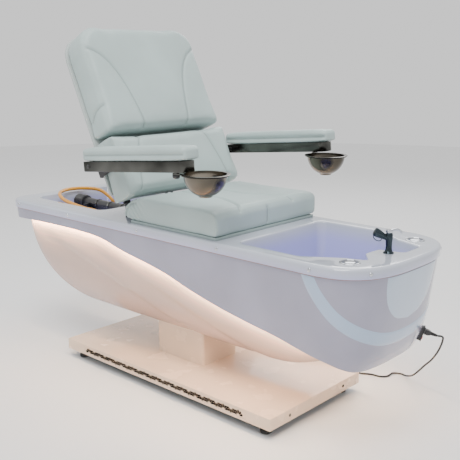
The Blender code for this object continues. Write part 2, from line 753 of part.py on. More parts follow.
def back_structure():
    frame = back_frame_matrix()
    rear, front = BACK_REAR, BACK_REAR + FRAME_PLATE
    leg_in, leg_out = HINGE_Y - 0.016, HINGE_Y + 0.016
    low_bar, high_bar = 0.060, 0.560
    arm_u, arm_n = arm_pivot_on_back()
    flat = frame @ Matrix.Rotation(math.pi / 2, 4, "Y")
    made = part("back_frame", box((rear, 0.024, -leg_out), (front, high_bar + 0.040, leg_out),
                                  frame), "black_steel", PIVOT)
    for low, high in ((0.0, low_bar), (low_bar + 0.040, high_bar)):
        cut(made, box((rear - 0.01, low, -leg_in), (front + 0.01, high, leg_in), frame))
    join(made, box((rear + 0.0006, arm_u - 0.025, -BACK_HALF_WIDTH - 0.001),
                   (front - 0.0006, arm_u + 0.025, BACK_HALF_WIDTH + 0.001), frame))
    for _, side in SIDES:
        ear = arc((0, 0), 0.017, 180, 360, 8)
        ear += [(front - 0.001, 0.050), (rear + 0.001, 0.050)]
        low, high = sorted((-side * (HINGE_Y - HINGE_PLATE / 2), -side * (HINGE_Y + HINGE_PLATE / 2)))
        join(made, slab(ear, low, high, frame))
        cut(made, cylinder(PIN_RADIUS + PIN_PLAY, low - 0.002, high + 0.002, frame))
    board_rear = front + GAP
    outline = rounded([(-BACK_HALF_WIDTH + 0.004, 0.062), (BACK_HALF_WIDTH - 0.004, 0.062),
                       (BACK_HALF_WIDTH - 0.004, BACK_TOP - 0.004),
                       (-BACK_HALF_WIDTH + 0.004, BACK_TOP - 0.004)],
                      [0.01, 0.01, BACK_CORNER, BACK_CORNER], 4)
    flat = frame @ Matrix.Rotation(math.pi / 2, 4, "Y")
    part("back_board", slab(outline, board_rear, board_rear + BOARD - GAP,
                            flat), "plywood", PIVOT)
    for name, side in SIDES:
        inner = side * (BACK_HALF_WIDTH + 0.001 + GAP)
        outer = inner + side * ARM_MOUNT_PLATE
        low, high = sorted((-inner, -outer))
        plate = part(f"arm_mount_{name}",
                     box((rear, arm_u - 0.024, low), (arm_n + 0.022, arm_u + 0.024, high), frame),
                     "black_steel", (ARM_PIVOT_X, outer, ARM_PIVOT_Z))
        bar_inner = ARM_INNER_Y + (ARM_PAD_WIDTH - ARM_BAR_WIDTH) / 2
        tip = side * (bar_inner + ARM_BAR_WALL + 0.003)
        low, high = sorted((-(inner + side * 0.002), -tip))
        join(plate, cylinder(PIN_RADIUS, low, high, side_frame(0, (ARM_PIVOT_X, ARM_PIVOT_Z))))


def arm_pivot_on_back():
    """The arm's pivot along the back and forward of the recline axis."""
    dx, dz = ARM_PIVOT_X - PIVOT_X, ARM_PIVOT_Z - PIVOT_Z
    along = -dx * math.sin(LEAN) + dz * math.cos(LEAN)
    forward = dx * math.cos(LEAN) + dz * math.sin(LEAN)
    return along, forward


def back_pads():
    frame = back_frame_matrix()
    pad_rear = BACK_REAR + FRAME_PLATE + BOARD + 2 * GAP
    face = BACK_FRONT
    half = BACK_HALF_WIDTH
    joint = 0.003
    flat = frame @ Matrix.Rotation(math.pi / 2, 4, "Y")
    front_outline = rounded([(-half, BACK_JOINT + joint), (half, BACK_JOINT + joint),
                             (half, BACK_TOP), (-half, BACK_TOP)],
                            [0.012, 0.012, BACK_CORNER, BACK_CORNER], 5)
    face_outline = rounded([(-half + 0.016, BACK_JOINT + joint + 0.014),
                            (half - 0.016, BACK_JOINT + joint + 0.014),
                            (half - 0.016, BACK_TOP - 0.016), (-half + 0.016, BACK_TOP - 0.016)],
                           [0.012, 0.012, BACK_CORNER - 0.01, BACK_CORNER - 0.01], 5)
    rings = [[flat @ Vector((x, y, n)) for x, y in outline]
             for outline, n in ((front_outline, pad_rear), (front_outline, face - 0.018),
                                (face_outline, face))]
    part("back_cushion", loft(rings), "mint_leather", PIVOT)
    profile = [(pad_rear, BACK_BOTTOM), (face - 0.030, BACK_BOTTOM), (face - 0.008, BACK_BOTTOM
                                                                     + 0.008),
               (face, BACK_BOTTOM + 0.030), (face, BACK_JOINT - joint - 0.014),
               (face - 0.014, BACK_JOINT - joint), (pad_rear, BACK_JOINT - joint)]
    part("lumbar_cushion", slab(profile, -half, half, frame), "mint_leather", PIVOT)


def lever_and_motor():
    pin = Vector((PIVOT_X + LEVER_REACH * math.cos(LEVER_ANGLE), 0.0,
                  PIVOT_Z + LEVER_REACH * math.sin(LEVER_ANGLE)))
    frame = back_frame_matrix()
    local_pin = frame.inverted() @ pin
    top = 0.058
    outline = [(BACK_REAR, top), (BACK_REAR - 0.004, 0.020), (local_pin.x - 0.011, local_pin.y),
               (local_pin.x - 0.007, local_pin.y - 0.010), (local_pin.x + 0.007, local_pin.y - 0.010),
               (local_pin.x + 0.011, local_pin.y), (0.010, 0.000), (0.008, 0.035),
               (BACK_REAR + FRAME_PLATE, top)]
    outline = outline[::-1]
    inner, outer = 0.0125, 0.0175
    lever = part("recline_lever", slab(outline, inner, outer, frame), "black_steel", PIVOT)
    join(lever, slab(outline, -outer, -inner, frame))
    pin_frame = side_frame(0, (pin.x, pin.z))
    join(lever, cylinder(0.005, -outer + 0.001, outer - 0.001, pin_frame, 12))
    join(lever, box((BACK_REAR + 0.001, 0.044, -outer + 0.001),
                    (BACK_REAR + FRAME_PLATE - 0.001, top - 0.001, outer - 0.001), frame))

    along = rod_frame(MOTOR_X)
    reach = (pin - along.translation).length
    eye_out, eye_in = 0.0212, 0.0150
    ring = [(eye_in, 0.008), (eye_out, 0.008), (eye_out, -0.008), (eye_in, -0.008)]
    rod = part("recline_rod", turned(ring, pin_frame, 20, closed=True), "orange_hose", pin)
    join(rod, cylinder(ROD_RADIUS, 0.215, reach - eye_out + 0.004, along))
    tube_front = 0.330
    bore = ROD_RADIUS + 0.0012
    profile = [(0, 0.010), (bore, 0.010), (bore, tube_front), (MOTOR_TUBE_RADIUS, tube_front),
               (MOTOR_TUBE_RADIUS, 0.035), (0.032, 0.030), (0.032, -0.030), (0, -0.030)]
    motor = part("recline_motor", turned(profile, along, 16), "black_steel",
                 along.translation)
    join(motor, box((-0.034, -0.040, -0.028), (0.034, -0.010, 0.026), along))
    foot = BAY_FLOOR + GAP
    x = MOTOR_X + 0.075
    cradle = part("motor_cradle", box((x - 0.012, -0.045, foot), (x + 0.012, 0.045,
                                                                 rod_height(x) + 0.004)),
                  "black_steel", (x, 0, foot))
    cut(cradle, cylinder(MOTOR_TUBE_RADIUS + CLEARANCE, -0.05, 0.05, rod_frame(x)))


def rod_frame(x):
    """Local Z along the recline rod, with its origin on the rod's axis at x."""
    place = Vector((x, 0.0, rod_height(x)))
    return Matrix.Translation(place) @ ROD_DIRECTION.to_track_quat("Z", "Y").to_matrix().to_4x4()


def rod_height(x):
    return MOTOR_Z + (x - MOTOR_X) * ROD_DIRECTION.z / ROD_DIRECTION.x


# ---------------------------------------------------------------- armrests and bowls
def armrests():
    bar_low, bar_high = -ARM_BAR_HEIGHT / 2, ARM_BAR_HEIGHT / 2
    half_bar, half_pad = ARM_BAR_WIDTH / 2, ARM_PAD_WIDTH / 2
    for name, side in SIDES:
        frame = arm_matrix(side)
        pivot = frame.translation
        outline = rectangle(ARM_BAR_REAR, ARM_BAR_LENGTH, half_bar, 0.022)
        bar = part(f"arm_bar_{name}", mirrored(slab(outline, bar_low, bar_high), frame),
                   "stainless", pivot)
        wall = ARM_BAR_WALL
        inside = rectangle(ARM_BAR_REAR + wall, ARM_BAR_LENGTH - 2 * wall, half_bar - wall, 0.019)
        cut(bar, mirrored(slab(inside, bar_low - 0.01, bar_high - wall), frame))
        bore = cylinder(PIN_RADIUS + PIN_PLAY, -half_bar - 0.01, -half_bar + wall + 0.01,
                        Matrix.Rotation(-math.pi / 2, 4, "X"))
        cut(bar, mirrored(bore, frame))
        low = bar_high + GAP
        pad = rectangle(ARM_PAD_REAR, ARM_PAD_LENGTH, half_pad, 0.018)
        small = rectangle(ARM_PAD_REAR + 0.008, ARM_PAD_LENGTH - 0.016, half_pad - 0.008, 0.014)
        rings = [[(x, y, z) for x, y in outline] for outline, z in
                 ((pad, low), (pad, low + ARM_PAD_THICKNESS - 0.012),
                  (small, low + ARM_PAD_THICKNESS))]
        part(f"arm_cushion_{name}", mirrored(loft(rings), frame), "mint_leather", pivot)
        bowl_set(name, side)


def rectangle(start, length, half, radius):
    """A rounded rectangle along X, centred on Y."""
    end = start + length
    return rounded([(start, -half), (end, -half), (end, half), (start, half)], radius, 3)


def bowl_set(name, side):
    """The bowl, its holder and the knob it swings on, under the arm's bar."""
    bar_middle = ARM_INNER_Y + ARM_PAD_WIDTH / 2
    frame = Matrix.Translation((0, side * bar_middle, 0)) @ Matrix.Diagonal((1, side, 1, 1))
    along = (BOWL_AXIS[0] - ARM_PIVOT_X) / math.cos(ARM_TILT)
    bar_low = (ARM_PIVOT_Z + along * math.sin(ARM_TILT) - ARM_BAR_HEIGHT / 2 / math.cos(ARM_TILT)
               - 0.011 * math.tan(ARM_TILT))
    knob = Vector((BOWL_AXIS[0], BOWL_AXIS[1] - bar_middle, 0.0))
    centre = Vector((BOWL_PLACE[0], BOWL_PLACE[1] - bar_middle, 0.0))
    plate_high = BOWL_RIM - 0.0015 - GAP
    plate_low = plate_high - HOLDER_PLATE
    seat_radius = BOWL_RADIUS - 0.0035
    toward = centre - knob
    angle = math.degrees(math.atan2(toward.y, toward.x))
    strip_frame = Matrix.Translation((knob.x, knob.y, 0)) @ Matrix.Rotation(math.radians(angle),
                                                                           4, "Z")
    reach = math.hypot(toward.x, toward.y)
    strip = [(0.014 * x, 0.014 * y) for x, y in arc((0, 0), 1, 90, 270, 6)]
    strip += [(reach - seat_radius + 0.002, -0.014), (reach - seat_radius + 0.002, 0.014)]
    axis_at = frame @ Vector((knob.x, knob.y, plate_high))
    holder = part(f"bowl_holder_{name}",
                  mirrored(slab(strip, plate_low, plate_high, strip_frame), frame),
                  "stainless", axis_at)
    inner = seat_radius - 0.006
    ring = [(inner, plate_high), (seat_radius + 0.002, plate_high),
            (seat_radius + 0.002, plate_low), (inner, plate_low)]
    join(holder, mirrored(turned(ring, Matrix.Translation((centre.x, centre.y, 0)), 24,
                                 closed=True), frame))
    join(holder, mirrored(cylinder(0.011, plate_low + 0.001, bar_low - GAP,
                                   Matrix.Translation((knob.x, knob.y, 0)), 12), frame))
    profile = [(0, plate_low - GAP), (0.013, plate_low - GAP), (0.013, plate_low - 0.006),
               (0.010, plate_low - 0.014), (0, plate_low - 0.014)]
    part(f"bowl_knob_{name}",
         mirrored(turned(profile, Matrix.Translation((knob.x, knob.y, 0)), 12), frame),
         "black_plastic", axis_at)
    rim_low = plate_high + GAP
    rim_high = rim_low + 0.0015
    steps = 5
    outside = seat_radius - 0.0075
    outer = [(outside * math.cos(math.radians(a)), rim_low - BOWL_DEPTH * math.sin(math.radians(a)))
             for a in (90 * k / steps for k in range(steps + 1))]
    floor = outer[-1][1]
    profile = [(0, floor + BOWL_WALL)]
    profile += [(r - BOWL_WALL, z + BOWL_WALL) for r, z in outer[-2:0:-1]]
    profile += [(outside - BOWL_WALL, rim_high), (BOWL_RADIUS, rim_high), (BOWL_RADIUS, rim_low)]
    profile += outer[:-1] + [(0, floor)]
    place = Matrix.Translation((centre.x, centre.y, 0))
    part(f"bowl_{name}", mirrored(turned(profile, place, 20), frame), "stainless",
         frame @ Vector((centre.x, centre.y, rim_low)))


# ---------------------------------------------------------------- basin fittings
def basin_fittings():
    floor = BASIN_FLOOR
    drain = Matrix.Translation((*DRAIN_PLACE, 0))
    profile = [(0.016, floor + 0.004), (0.030, floor + 0.004), (0.034, floor + GAP),
               (0.021, floor + GAP), (0.021, floor - 0.030), (0.016, floor - 0.030)]
    part("drain_flange", turned(profile, drain, closed=True), "chrome", (*DRAIN_PLACE, floor))
    profile = [(0, floor + 0.0095), (0.012, floor + 0.009), (0.0205, floor + 0.0043 + GAP),
               (0.0145, floor + 0.0043 + GAP), (0.0125, floor - 0.012), (0, floor - 0.012)]
    part("drain_stopper", turned(profile, drain), "chrome", (*DRAIN_PLACE, floor))

    jet = jet_frame()
    profile = [(0.012, 0.036), (0.030, 0.033), (0.042, 0.018), (0.042, 0.0), (0.038, 0.0),
               (0.038, 0.016), (0.028, 0.029), (0.012, 0.032)]
    cover = part("jet_cover", turned(profile, jet, 16, closed=True), "white_acrylic",
                 jet.translation)
    for k in range(4):
        turn = jet @ Matrix.Rotation(math.radians(90 * k), 4, "Z")
        cut(cover, box((0.030, -0.004, 0.005), (0.050, 0.004, 0.014), turn))
    hub = part("jet_impeller", cylinder(0.008, 0.007, 0.022, jet, 12), "grey_plastic",
               jet.translation)
    for k in range(3):
        turn = jet @ Matrix.Rotation(math.radians(120 * k), 4, "Z")
        join(hub, box((0.004, -0.0012, 0.008), (0.026, 0.0012, 0.020), turn))

    for (name, side), knob in zip(SIDES, ("jet_knob", "light_knob")):
        place = Vector((KNOB_PLACE[0], side * KNOB_PLACE[1], RIM_HEIGHT))
        frame = Matrix.Translation(place)
        base_z = -CUP_DEPTH + GAP
        profile = [(0, 0.002), (0.015, 0.002), (0.018, -0.001), (0.020, base_z), (0, base_z)]
        turn = part(knob, turned(profile, frame, 16), "chrome", place)
        cut(turn, box((-0.0012, 0.004, 0.0008), (0.0012, 0.020, 0.01), frame))


def jet_frame(along=0.0):
    """On the basin's near wall, Z into the basin."""
    x = 0.560 + along
    low = (x, -BASIN_HALF_WIDTH * BASIN_TAPER, BASIN_FLOOR)
    high = (x, -BASIN_HALF_WIDTH, RIM_HEIGHT)
    up = (Vector(high) - Vector(low)).normalized()
    into = Vector((0, 1, 0)) - up * up.y
    into.normalize()
    place = Vector(low).lerp(Vector(high), 0.45) + into * 0.0012
    side = up.cross(into)
    rotation = Matrix((side, up, into)).transposed().to_4x4()
    return Matrix.Translation(place) @ rotation


def faucet():
    place = Vector((*FAUCET_PLACE, RIM_HEIGHT))
    frame = Matrix.Translation(place) @ Matrix.Rotation(FAUCET_YAW, 4, "Z")
    profile = [(0, 0.068), (0.009, 0.067), (0.0115, 0.063), (0.0115, 0.044), (0.0100, 0.022),
               (0.012, 0.008), (0.017, 0.004), (0.018, GAP), (0.0115, GAP), (0.0115, -0.026),
               (0, -0.026)]
    body = part("faucet_body", turned(profile, frame, 16), "chrome", place)
    reach = Matrix.Translation((0, 0, 0.046)) @ Matrix.Rotation(-math.radians(62), 4, "Y")
    join(body, cylinder(0.0090, 0.0, 0.020, frame @ reach, 12))
    head = [(0.0, 0.054), (0.0125, 0.054), (0.0140, 0.050), (0.0135, 0.036), (0.0095, 0.0205),
            (0.0, 0.0205)]
    part("spray_head", turned(head, frame @ reach, 14), "chrome", frame @ reach @ Vector((0, 0, 0.0205)))
    lever_base = frame @ Matrix.Translation((0, 0, 0.0685))
    lever = part("faucet_lever", cylinder(0.0110, GAP, 0.009, lever_base, 14), "chrome",
                 lever_base.translation)
    stick = lever_base @ Matrix.Translation((0, 0, 0.0055)) @ Matrix.Rotation(math.radians(86), 4, "Y")
    join(lever, cylinder(0.0036, 0.002, 0.042, stick, 10, 0.0030))


# ---------------------------------------------------------------- rear bay hose
def water_hose():
    radius = 0.008
    floor = BAY_FLOOR + GAP
    route = [(-0.735, 0.125, floor + 0.003), (-0.735, 0.125, 0.625), (-0.800, 0.105, 0.668),
             (-0.845, 0.045, 0.680), (-0.852, -0.045, 0.684), (-0.815, -0.115, 0.680),
             (-0.745, -0.150, 0.668), (-0.665, -0.158, 0.656), (-0.590, -0.150, 0.645),
             (-0.522, -0.130, 0.634), (-0.510, -0.115, floor + 0.003)]
    part("water_hose", tube(smooth_path(route, 0.032), radius, 2), "orange_hose", route[0])


# ---------------------------------------------------------------- power inlet and cord
INLET_WIDTH = 0.028
INLET_HEIGHT = 0.050
INLET_PROUD = 0.010
INLET_PITCH = math.radians(18)   # how far the casing's face looks down there
INLET_PLACE = (HULL_FRONT - 0.0812, HALF_WIDTH - 0.1066, 0.340)
INLET_YAW = math.radians(32)
CONNECTOR_LENGTH = 0.022
CONNECTOR_UP = 0.010
ROCKER_DOWN = 0.014


def inlet_frame():
    """Z out of the casing, Y up along it."""
    turn = (Matrix.Rotation(INLET_YAW, 4, "Z") @ Matrix.Rotation(math.pi / 2 + INLET_PITCH, 4, "Y")
            @ Matrix.Rotation(math.pi / 2, 4, "Z"))
    return Matrix.Translation(INLET_PLACE) @ turn


def power_inlet():
    frame = inlet_frame()
    half_w, half_h = INLET_WIDTH / 2, INLET_HEIGHT / 2
    body = part("power_inlet", box((-half_w, -half_h, -0.022), (half_w, half_h, INLET_PROUD),
                                   frame), "black_plastic", frame.translation)
    up = up_sign(frame)
    low, high = sorted((up * (-ROCKER_DOWN - 0.0075), up * (-ROCKER_DOWN + 0.0075)))
    cut(body, box((-0.0105, low, INLET_PROUD - 0.005), (0.0105, high, INLET_PROUD + 0.01), frame))
    rocker_axis = frame @ Vector((0, up * -ROCKER_DOWN, INLET_PROUD - 0.001))
    profile = [(-0.0064, 0.0026), (-0.0060, -0.0030), (0.0060, -0.0030), (0.0064, 0.0026),
               (0.0, 0.0012)]
    turn = (Matrix.Translation(rocker_axis) @ frame.to_quaternion().to_matrix().to_4x4()
            @ Matrix.Rotation(math.pi / 2, 4, "Y") @ Matrix.Rotation(math.pi / 2, 4, "Z"))
    part("power_rocker", slab(profile, -0.0095, 0.0095, turn), "red_plastic", rocker_axis)
    plug_low = INLET_PROUD + GAP
    outline = rounded([(-0.0125, -0.009), (0.0125, -0.009), (0.0125, 0.009), (-0.0125, 0.009)],
                      0.003, 2)
    small = rounded([(-0.0075, -0.007), (0.0075, -0.007), (0.0075, 0.007), (-0.0075, 0.007)],
                    0.003, 2)
    rings = [[frame @ Vector((x, y + up * CONNECTOR_UP, z)) for x, y in ring]
             for ring, z in ((outline, plug_low), (outline, plug_low + CONNECTOR_LENGTH * 0.6),
                             (small, plug_low + CONNECTOR_LENGTH))]
    part("cord_connector", loft(rings), "black_plastic", frame.translation)
    relief_low = plug_low + CONNECTOR_LENGTH + GAP
    neck = frame @ Matrix.Translation((0, up * CONNECTOR_UP, 0))
    profile = [(0, relief_low + RELIEF_LENGTH), (0.0045, relief_low + RELIEF_LENGTH),
               (0.0065, relief_low), (0, relief_low)]
    part("strain_relief", turned(profile, neck, 12), "black_rubber", neck.translation)
    return neck @ Vector((0, 0, relief_low + RELIEF_LENGTH + 0.0012)), neck.to_quaternion() @ Vector(
        (0, 0, 1))


RELIEF_LENGTH = 0.024
COIL_PLACE = (0.300, 0.340)
FLOOR_LEVEL = CORD_DIAMETER / 2 + 0.0002


def up_sign(frame):
    return 1 if (frame.to_quaternion() @ Vector((0, 1, 0))).z > 0 else -1


def cord(exit_point, direction):
    middle = COIL_MIDDLE_DIAMETER / 2
    join_x, join_y = COIL_PLACE[0] + 0.004, COIL_PLACE[1] + middle + CORD_DIAMETER + 0.0045
    route = [exit_point, exit_point + direction * 0.020,
             exit_point + Vector((-0.010, 0.040, -0.064)),
             exit_point + Vector((-0.061, 0.092, -0.132)),
             exit_point + Vector((-0.128, 0.166, -0.200)), (0.712, 0.462, 0.050),
             (0.655, 0.512, 0.012), (0.615, 0.531, FLOOR_LEVEL), (0.588, 0.514, FLOOR_LEVEL),
             (0.588, 0.474, FLOOR_LEVEL), (0.568, 0.450, FLOOR_LEVEL),
             (0.528, 0.443, FLOOR_LEVEL), (0.482, 0.420, FLOOR_LEVEL),
             (0.430, 0.400, FLOOR_LEVEL), (0.370, 0.391, FLOOR_LEVEL),
             (join_x, join_y, FLOOR_LEVEL)]
    part("mains_cord", tube(smooth_path(route, 0.019), CORD_DIAMETER / 2), "black_rubber",
         route[0])
    half_across = COIL_TURNS_ACROSS * CORD_DIAMETER / 2
    height = COIL_TURNS_HIGH * CORD_DIAMETER
    edge = CORD_DIAMETER / 2
    outer, inner = middle + half_across, middle - half_across
    profile = [(inner + edge, height), (outer - edge, height), (outer, height - edge),
               (outer, edge), (outer - edge, 0.0002), (inner + edge, 0.0002), (inner, edge),
               (inner, height - edge)]
    frame = Matrix.Translation((*COIL_PLACE, 0))
    part("cord_coil", turned(profile, frame, 32, closed=True), "black_rubber", (*COIL_PLACE, 0))
    plug_x = COIL_PLACE[0] - outer - 0.045
    plug = Matrix.Translation((plug_x, COIL_PLACE[1], 0.0135)) @ Matrix.Rotation(-math.pi / 2, 4, "Y")
    body = part("mains_plug", turned([(0, 0.034), (0.010, 0.034), (0.013, 0.028), (0.012, 0.010),
                                      (0.006, 0.0), (0, 0.0)], plug, 14), "black_plastic",
                plug.translation)
    for offset in (-0.0065, 0.0065):
        join(body, cylinder(0.0024, 0.032, 0.053, plug @ Matrix.Translation((0, offset, 0)), 10))


def main():
    base()
    column()
    casing()
    lower_hull()
    deck()
    light_strips()
    seat_frame()
    seat()
    pivot_brackets()
    back_structure()
    back_pads()
    lever_and_motor()
    armrests()
    basin_fittings()
    faucet()
    water_hose()
    cord(*power_inlet())


main()
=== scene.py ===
"""A pedicure spa chair in full detail, built on the shared frame.

Each sub-assembly is a class that builds its own pieces. +X points to the foot basin, +Y to
the sitter's left and +Z up, in metres.
"""

from __future__ import annotations

import logging
import math
from dataclasses import dataclass, field
from enum import Enum
from typing import Callable, Optional, Sequence

import bmesh
import bpy
import numpy as np
from mathutils import Matrix, Vector
from mathutils.bvhtree import BVHTree
from mathutils.kdtree import KDTree


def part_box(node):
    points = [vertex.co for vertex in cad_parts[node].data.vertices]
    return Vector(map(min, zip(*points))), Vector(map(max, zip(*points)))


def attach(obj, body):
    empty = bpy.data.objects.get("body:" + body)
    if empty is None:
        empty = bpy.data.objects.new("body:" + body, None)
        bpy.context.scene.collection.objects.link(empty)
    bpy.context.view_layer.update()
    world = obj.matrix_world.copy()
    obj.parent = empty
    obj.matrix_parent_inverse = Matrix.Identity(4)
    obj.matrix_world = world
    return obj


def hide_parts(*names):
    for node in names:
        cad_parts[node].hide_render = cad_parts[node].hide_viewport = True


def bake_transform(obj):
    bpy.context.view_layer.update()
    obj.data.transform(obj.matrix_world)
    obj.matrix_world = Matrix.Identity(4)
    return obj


LOG = logging.getLogger("pedicure_spa_chair")
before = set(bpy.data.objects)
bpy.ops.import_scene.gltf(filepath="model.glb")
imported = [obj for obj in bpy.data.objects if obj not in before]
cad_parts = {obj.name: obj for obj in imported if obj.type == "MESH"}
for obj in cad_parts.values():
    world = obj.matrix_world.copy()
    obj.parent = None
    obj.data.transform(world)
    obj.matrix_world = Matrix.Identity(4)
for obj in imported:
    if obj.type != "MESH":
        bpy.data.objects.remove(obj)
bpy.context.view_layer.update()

Point2 = tuple[float, float]
Ring = Sequence[Sequence[float]]
SIDES: tuple[tuple[str, int], ...] = (("near", -1), ("far", 1))


# ---------------------------------------------------------------- shaders
class Wire:
    """A shader socket that takes part in sums like a number."""

    def __init__(self, graph: "Graph", socket: bpy.types.NodeSocket) -> None:
        """Holds a socket and the graph that it belongs to."""
        self.graph = graph
        self.socket = socket

    def _math(self, operation: str, left: object, right: object) -> "Wire":
        """Joins two terms, each a wire or a number, with a Math node."""
        return self.graph.node("ShaderNodeMath", {"operation": operation}, {0: left, 1: right})

    def __add__(self, other: object) -> "Wire":
        """This wire plus another term."""
        return self._math("ADD", self, other)

    def __mul__(self, other: object) -> "Wire":
        """This wire times another term."""
        return self._math("MULTIPLY", self, other)

    def __rmul__(self, other: object) -> "Wire":
        """Another term times this wire."""
        return self._math("MULTIPLY", other, self)


class Graph:
    """A material's node tree, with one method for every kind of node."""

    def __init__(self, name: str) -> None:
        """Starts a material with a Principled BSDF.

        Args:
            name: the material's name.
        """
        self.material = bpy.data.materials.new(name)
        self.material.use_nodes = True
        self.tree = self.material.node_tree
        self.shader = self.tree.nodes["Principled BSDF"]

    def feed(self, socket: bpy.types.NodeSocket, value: object) -> None:
        """Links a wire to a socket, or sets a constant on it.

        Args:
            socket: the socket to feed.
            value: a wire or a constant.
        """
        if isinstance(value, Wire):
            self.tree.links.new(value.socket, socket)
        else:
            socket.default_value = value

    def node(self, kind: str, settings: Optional[dict] = None, inputs: Optional[dict] = None,
             output: int | str = 0) -> Wire:
        """Adds a node.

        Args:
            kind: the node's type name.
            settings: its properties.
            inputs: its sockets, by name or number, each a wire or a constant.
            output: which of its outputs is handed back.

        Returns:
            The wire from that output.
        """
        made = self.tree.nodes.new(kind)
        for key, value in (settings or {}).items():
            setattr(made, key, value)
        for key, value in (inputs or {}).items():
            self.feed(made.inputs[key], value)
        return Wire(self, made.outputs[output])

    def blend(self, first: object, second: object, share: object) -> Wire:
        """Mixes two colours."""
        return self.node("ShaderNodeMix", {"data_type": "RGBA"},
                         {0: share, 6: first, 7: second}, 2)

    def noise(self, place: Wire, scale: float, detail: float = 2.0) -> Wire:
        """Soft noise from 0 to 1 at a place."""
        return self.node("ShaderNodeTexNoise", None,
                         {"Vector": place, "Scale": scale, "Detail": detail}, "Fac")

    def ramp(self, value: Wire, low: float, high: float) -> Wire:
        """Rises smoothly from 0 at low to 1 at high."""
        return self.node("ShaderNodeMapRange", {"interpolation_type": "SMOOTHSTEP"},
                         {"Value": value, "From Min": low, "From Max": high})


class Grain(Enum):
    """The fine surface that a finish has."""

    SMOOTH = "smooth"
    PEBBLE = "pebble"
    BRUSHED = "brushed"
    PEEL = "peel"
    BRAID = "braid"


@dataclass(frozen=True)
class Finish:
    """A surface finish: its colours, its shine and its grain.

    Args:
        slot: the record's material slot; not used.
        glow: strength of its own light.
        lit: strength of the painted warm light on it, an emission shared out by its "glow"
            attribute.
        low: the height where a painted tint of the basin lamp's light is full, and where it ends,
            with the tint's colour.
    """

    name: str
    slot: str
    colour: tuple[float, float, float]
    roughness: float
    metallic: float = 0.0
    coat: float = 0.0
    grain: Grain = Grain.SMOOTH
    scale: float = 300.0
    depth: float = 0.0001
    mottle: float = 0.04
    glow: float = 0.0
    lit: float = 0.0
    low: Optional[tuple[float, float, tuple[float, float, float]]] = None

    def _height(self, graph: Graph, place: Wire) -> Wire:
        """The grain's relief, from 0 to 1.

        Args:
            graph: the material's graph.
            place: the point on the object.

        Returns:
            The relief at that point.
        """
        if self.grain is Grain.PEBBLE:
            cells = graph.node("ShaderNodeTexVoronoi", None,
                               {"Vector": place, "Scale": self.scale}, "Distance")
            return cells * 0.7 + graph.noise(place, self.scale * 0.35) * 0.6
        if self.grain is Grain.BRUSHED:
            along = graph.node("ShaderNodeMapping", None,
                               {"Vector": place, "Scale": (6.0, self.scale, self.scale)})
            return graph.noise(along, 1.0, 4.0)
        if self.grain is Grain.BRAID:
            one = graph.node("ShaderNodeTexWave", {"bands_direction": "DIAGONAL"},
                             {"Vector": place, "Scale": self.scale}, "Fac")
            two = graph.node("ShaderNodeTexWave", {"bands_direction": "X"},
                             {"Vector": place, "Scale": self.scale}, "Fac")
            return one * 0.5 + two * 0.5
        scale = self.scale if self.grain is Grain.PEEL else self.scale * 2.0
        return graph.noise(place, scale, 3.0)

    def material(self) -> bpy.types.Material:
        """Makes the material once, and finds it again after that.

        Returns:
            The material.
        """
        title = f"{self.name}_finish"
        known = bpy.data.materials.get(title)
        if known:
            return known
        graph = Graph(title)
        place = graph.node("ShaderNodeTexCoord", output="Object")
        broad = graph.noise(place, 3.7, 3.0)
        height = self._height(graph, place)
        dark = (*(c * (1 - 1.6 * self.mottle) for c in self.colour), 1.0)
        light = (*(min(1.0, c * (1 + self.mottle)) for c in self.colour), 1.0)
        colour = graph.blend(dark, light, graph.ramp(broad, 0.3, 0.7))
        # Painted light: a tint that deepens downwards, standing in for the basin lamp's coloured
        # light.
        if self.low:
            depth = graph.node("ShaderNodeSeparateXYZ", None, {"Vector": place}, "Z")
            share = graph.ramp(depth, self.low[1], self.low[0])
            colour = graph.blend(colour, (*self.low[2], 1.0), share)
        worn = graph.ramp(graph.noise(place, 11.0, 4.0), 0.25, 0.8)
        graph.feed(graph.shader.inputs["Roughness"], self.roughness * (worn * 0.25 + 0.88))
        # Painted shade: the leather is darkened along the seams, where shade falls in their
        # grooves.
        if self.grain is Grain.PEBBLE:
            seam = graph.node("ShaderNodeAttribute", {"attribute_name": "seam"}, output="Fac")
            shade = (*(c * 0.55 for c in self.colour), 1.0)
            colour = graph.blend(colour, shade, seam * 0.75)
        graph.feed(graph.shader.inputs["Base Color"], colour)
        bump = graph.node("ShaderNodeBump", None,
                          {"Height": height, "Distance": self.depth, "Strength": 0.6}, "Normal")
        graph.feed(graph.shader.inputs["Normal"], bump)
        graph.shader.inputs["Metallic"].default_value = self.metallic
        graph.shader.inputs["Coat Weight"].default_value = self.coat
        graph.shader.inputs["Coat Roughness"].default_value = 0.04
        if max(self.colour) < 0.01:
            graph.shader.inputs["Specular IOR Level"].default_value = 0.0
        # Painted light: warm emission, shared out by the "glow" attribute, stands in for the LED
        # light falling on the surface.
        if self.lit:
            share = graph.node("ShaderNodeAttribute", {"attribute_name": "glow"}, output="Fac")
            warm = graph.blend((0.0, 0.0, 0.0, 1.0), (1.0, 0.62, 0.34, 1.0), share)
            graph.feed(graph.shader.inputs["Emission Color"], warm)
            graph.shader.inputs["Emission Strength"].default_value = self.lit
        if self.glow:
            beads = graph.node("ShaderNodeTexWave", {"bands_direction": "X"},
                               {"Vector": place, "Scale": 24.0}, "Fac")
            hot = graph.blend((*self.colour, 1.0), (1.0, 0.97, 0.9, 1.0), beads * 0.6)
            graph.feed(graph.shader.inputs["Emission Color"], hot)
            graph.shader.inputs["Emission Strength"].default_value = self.glow
        return graph.material


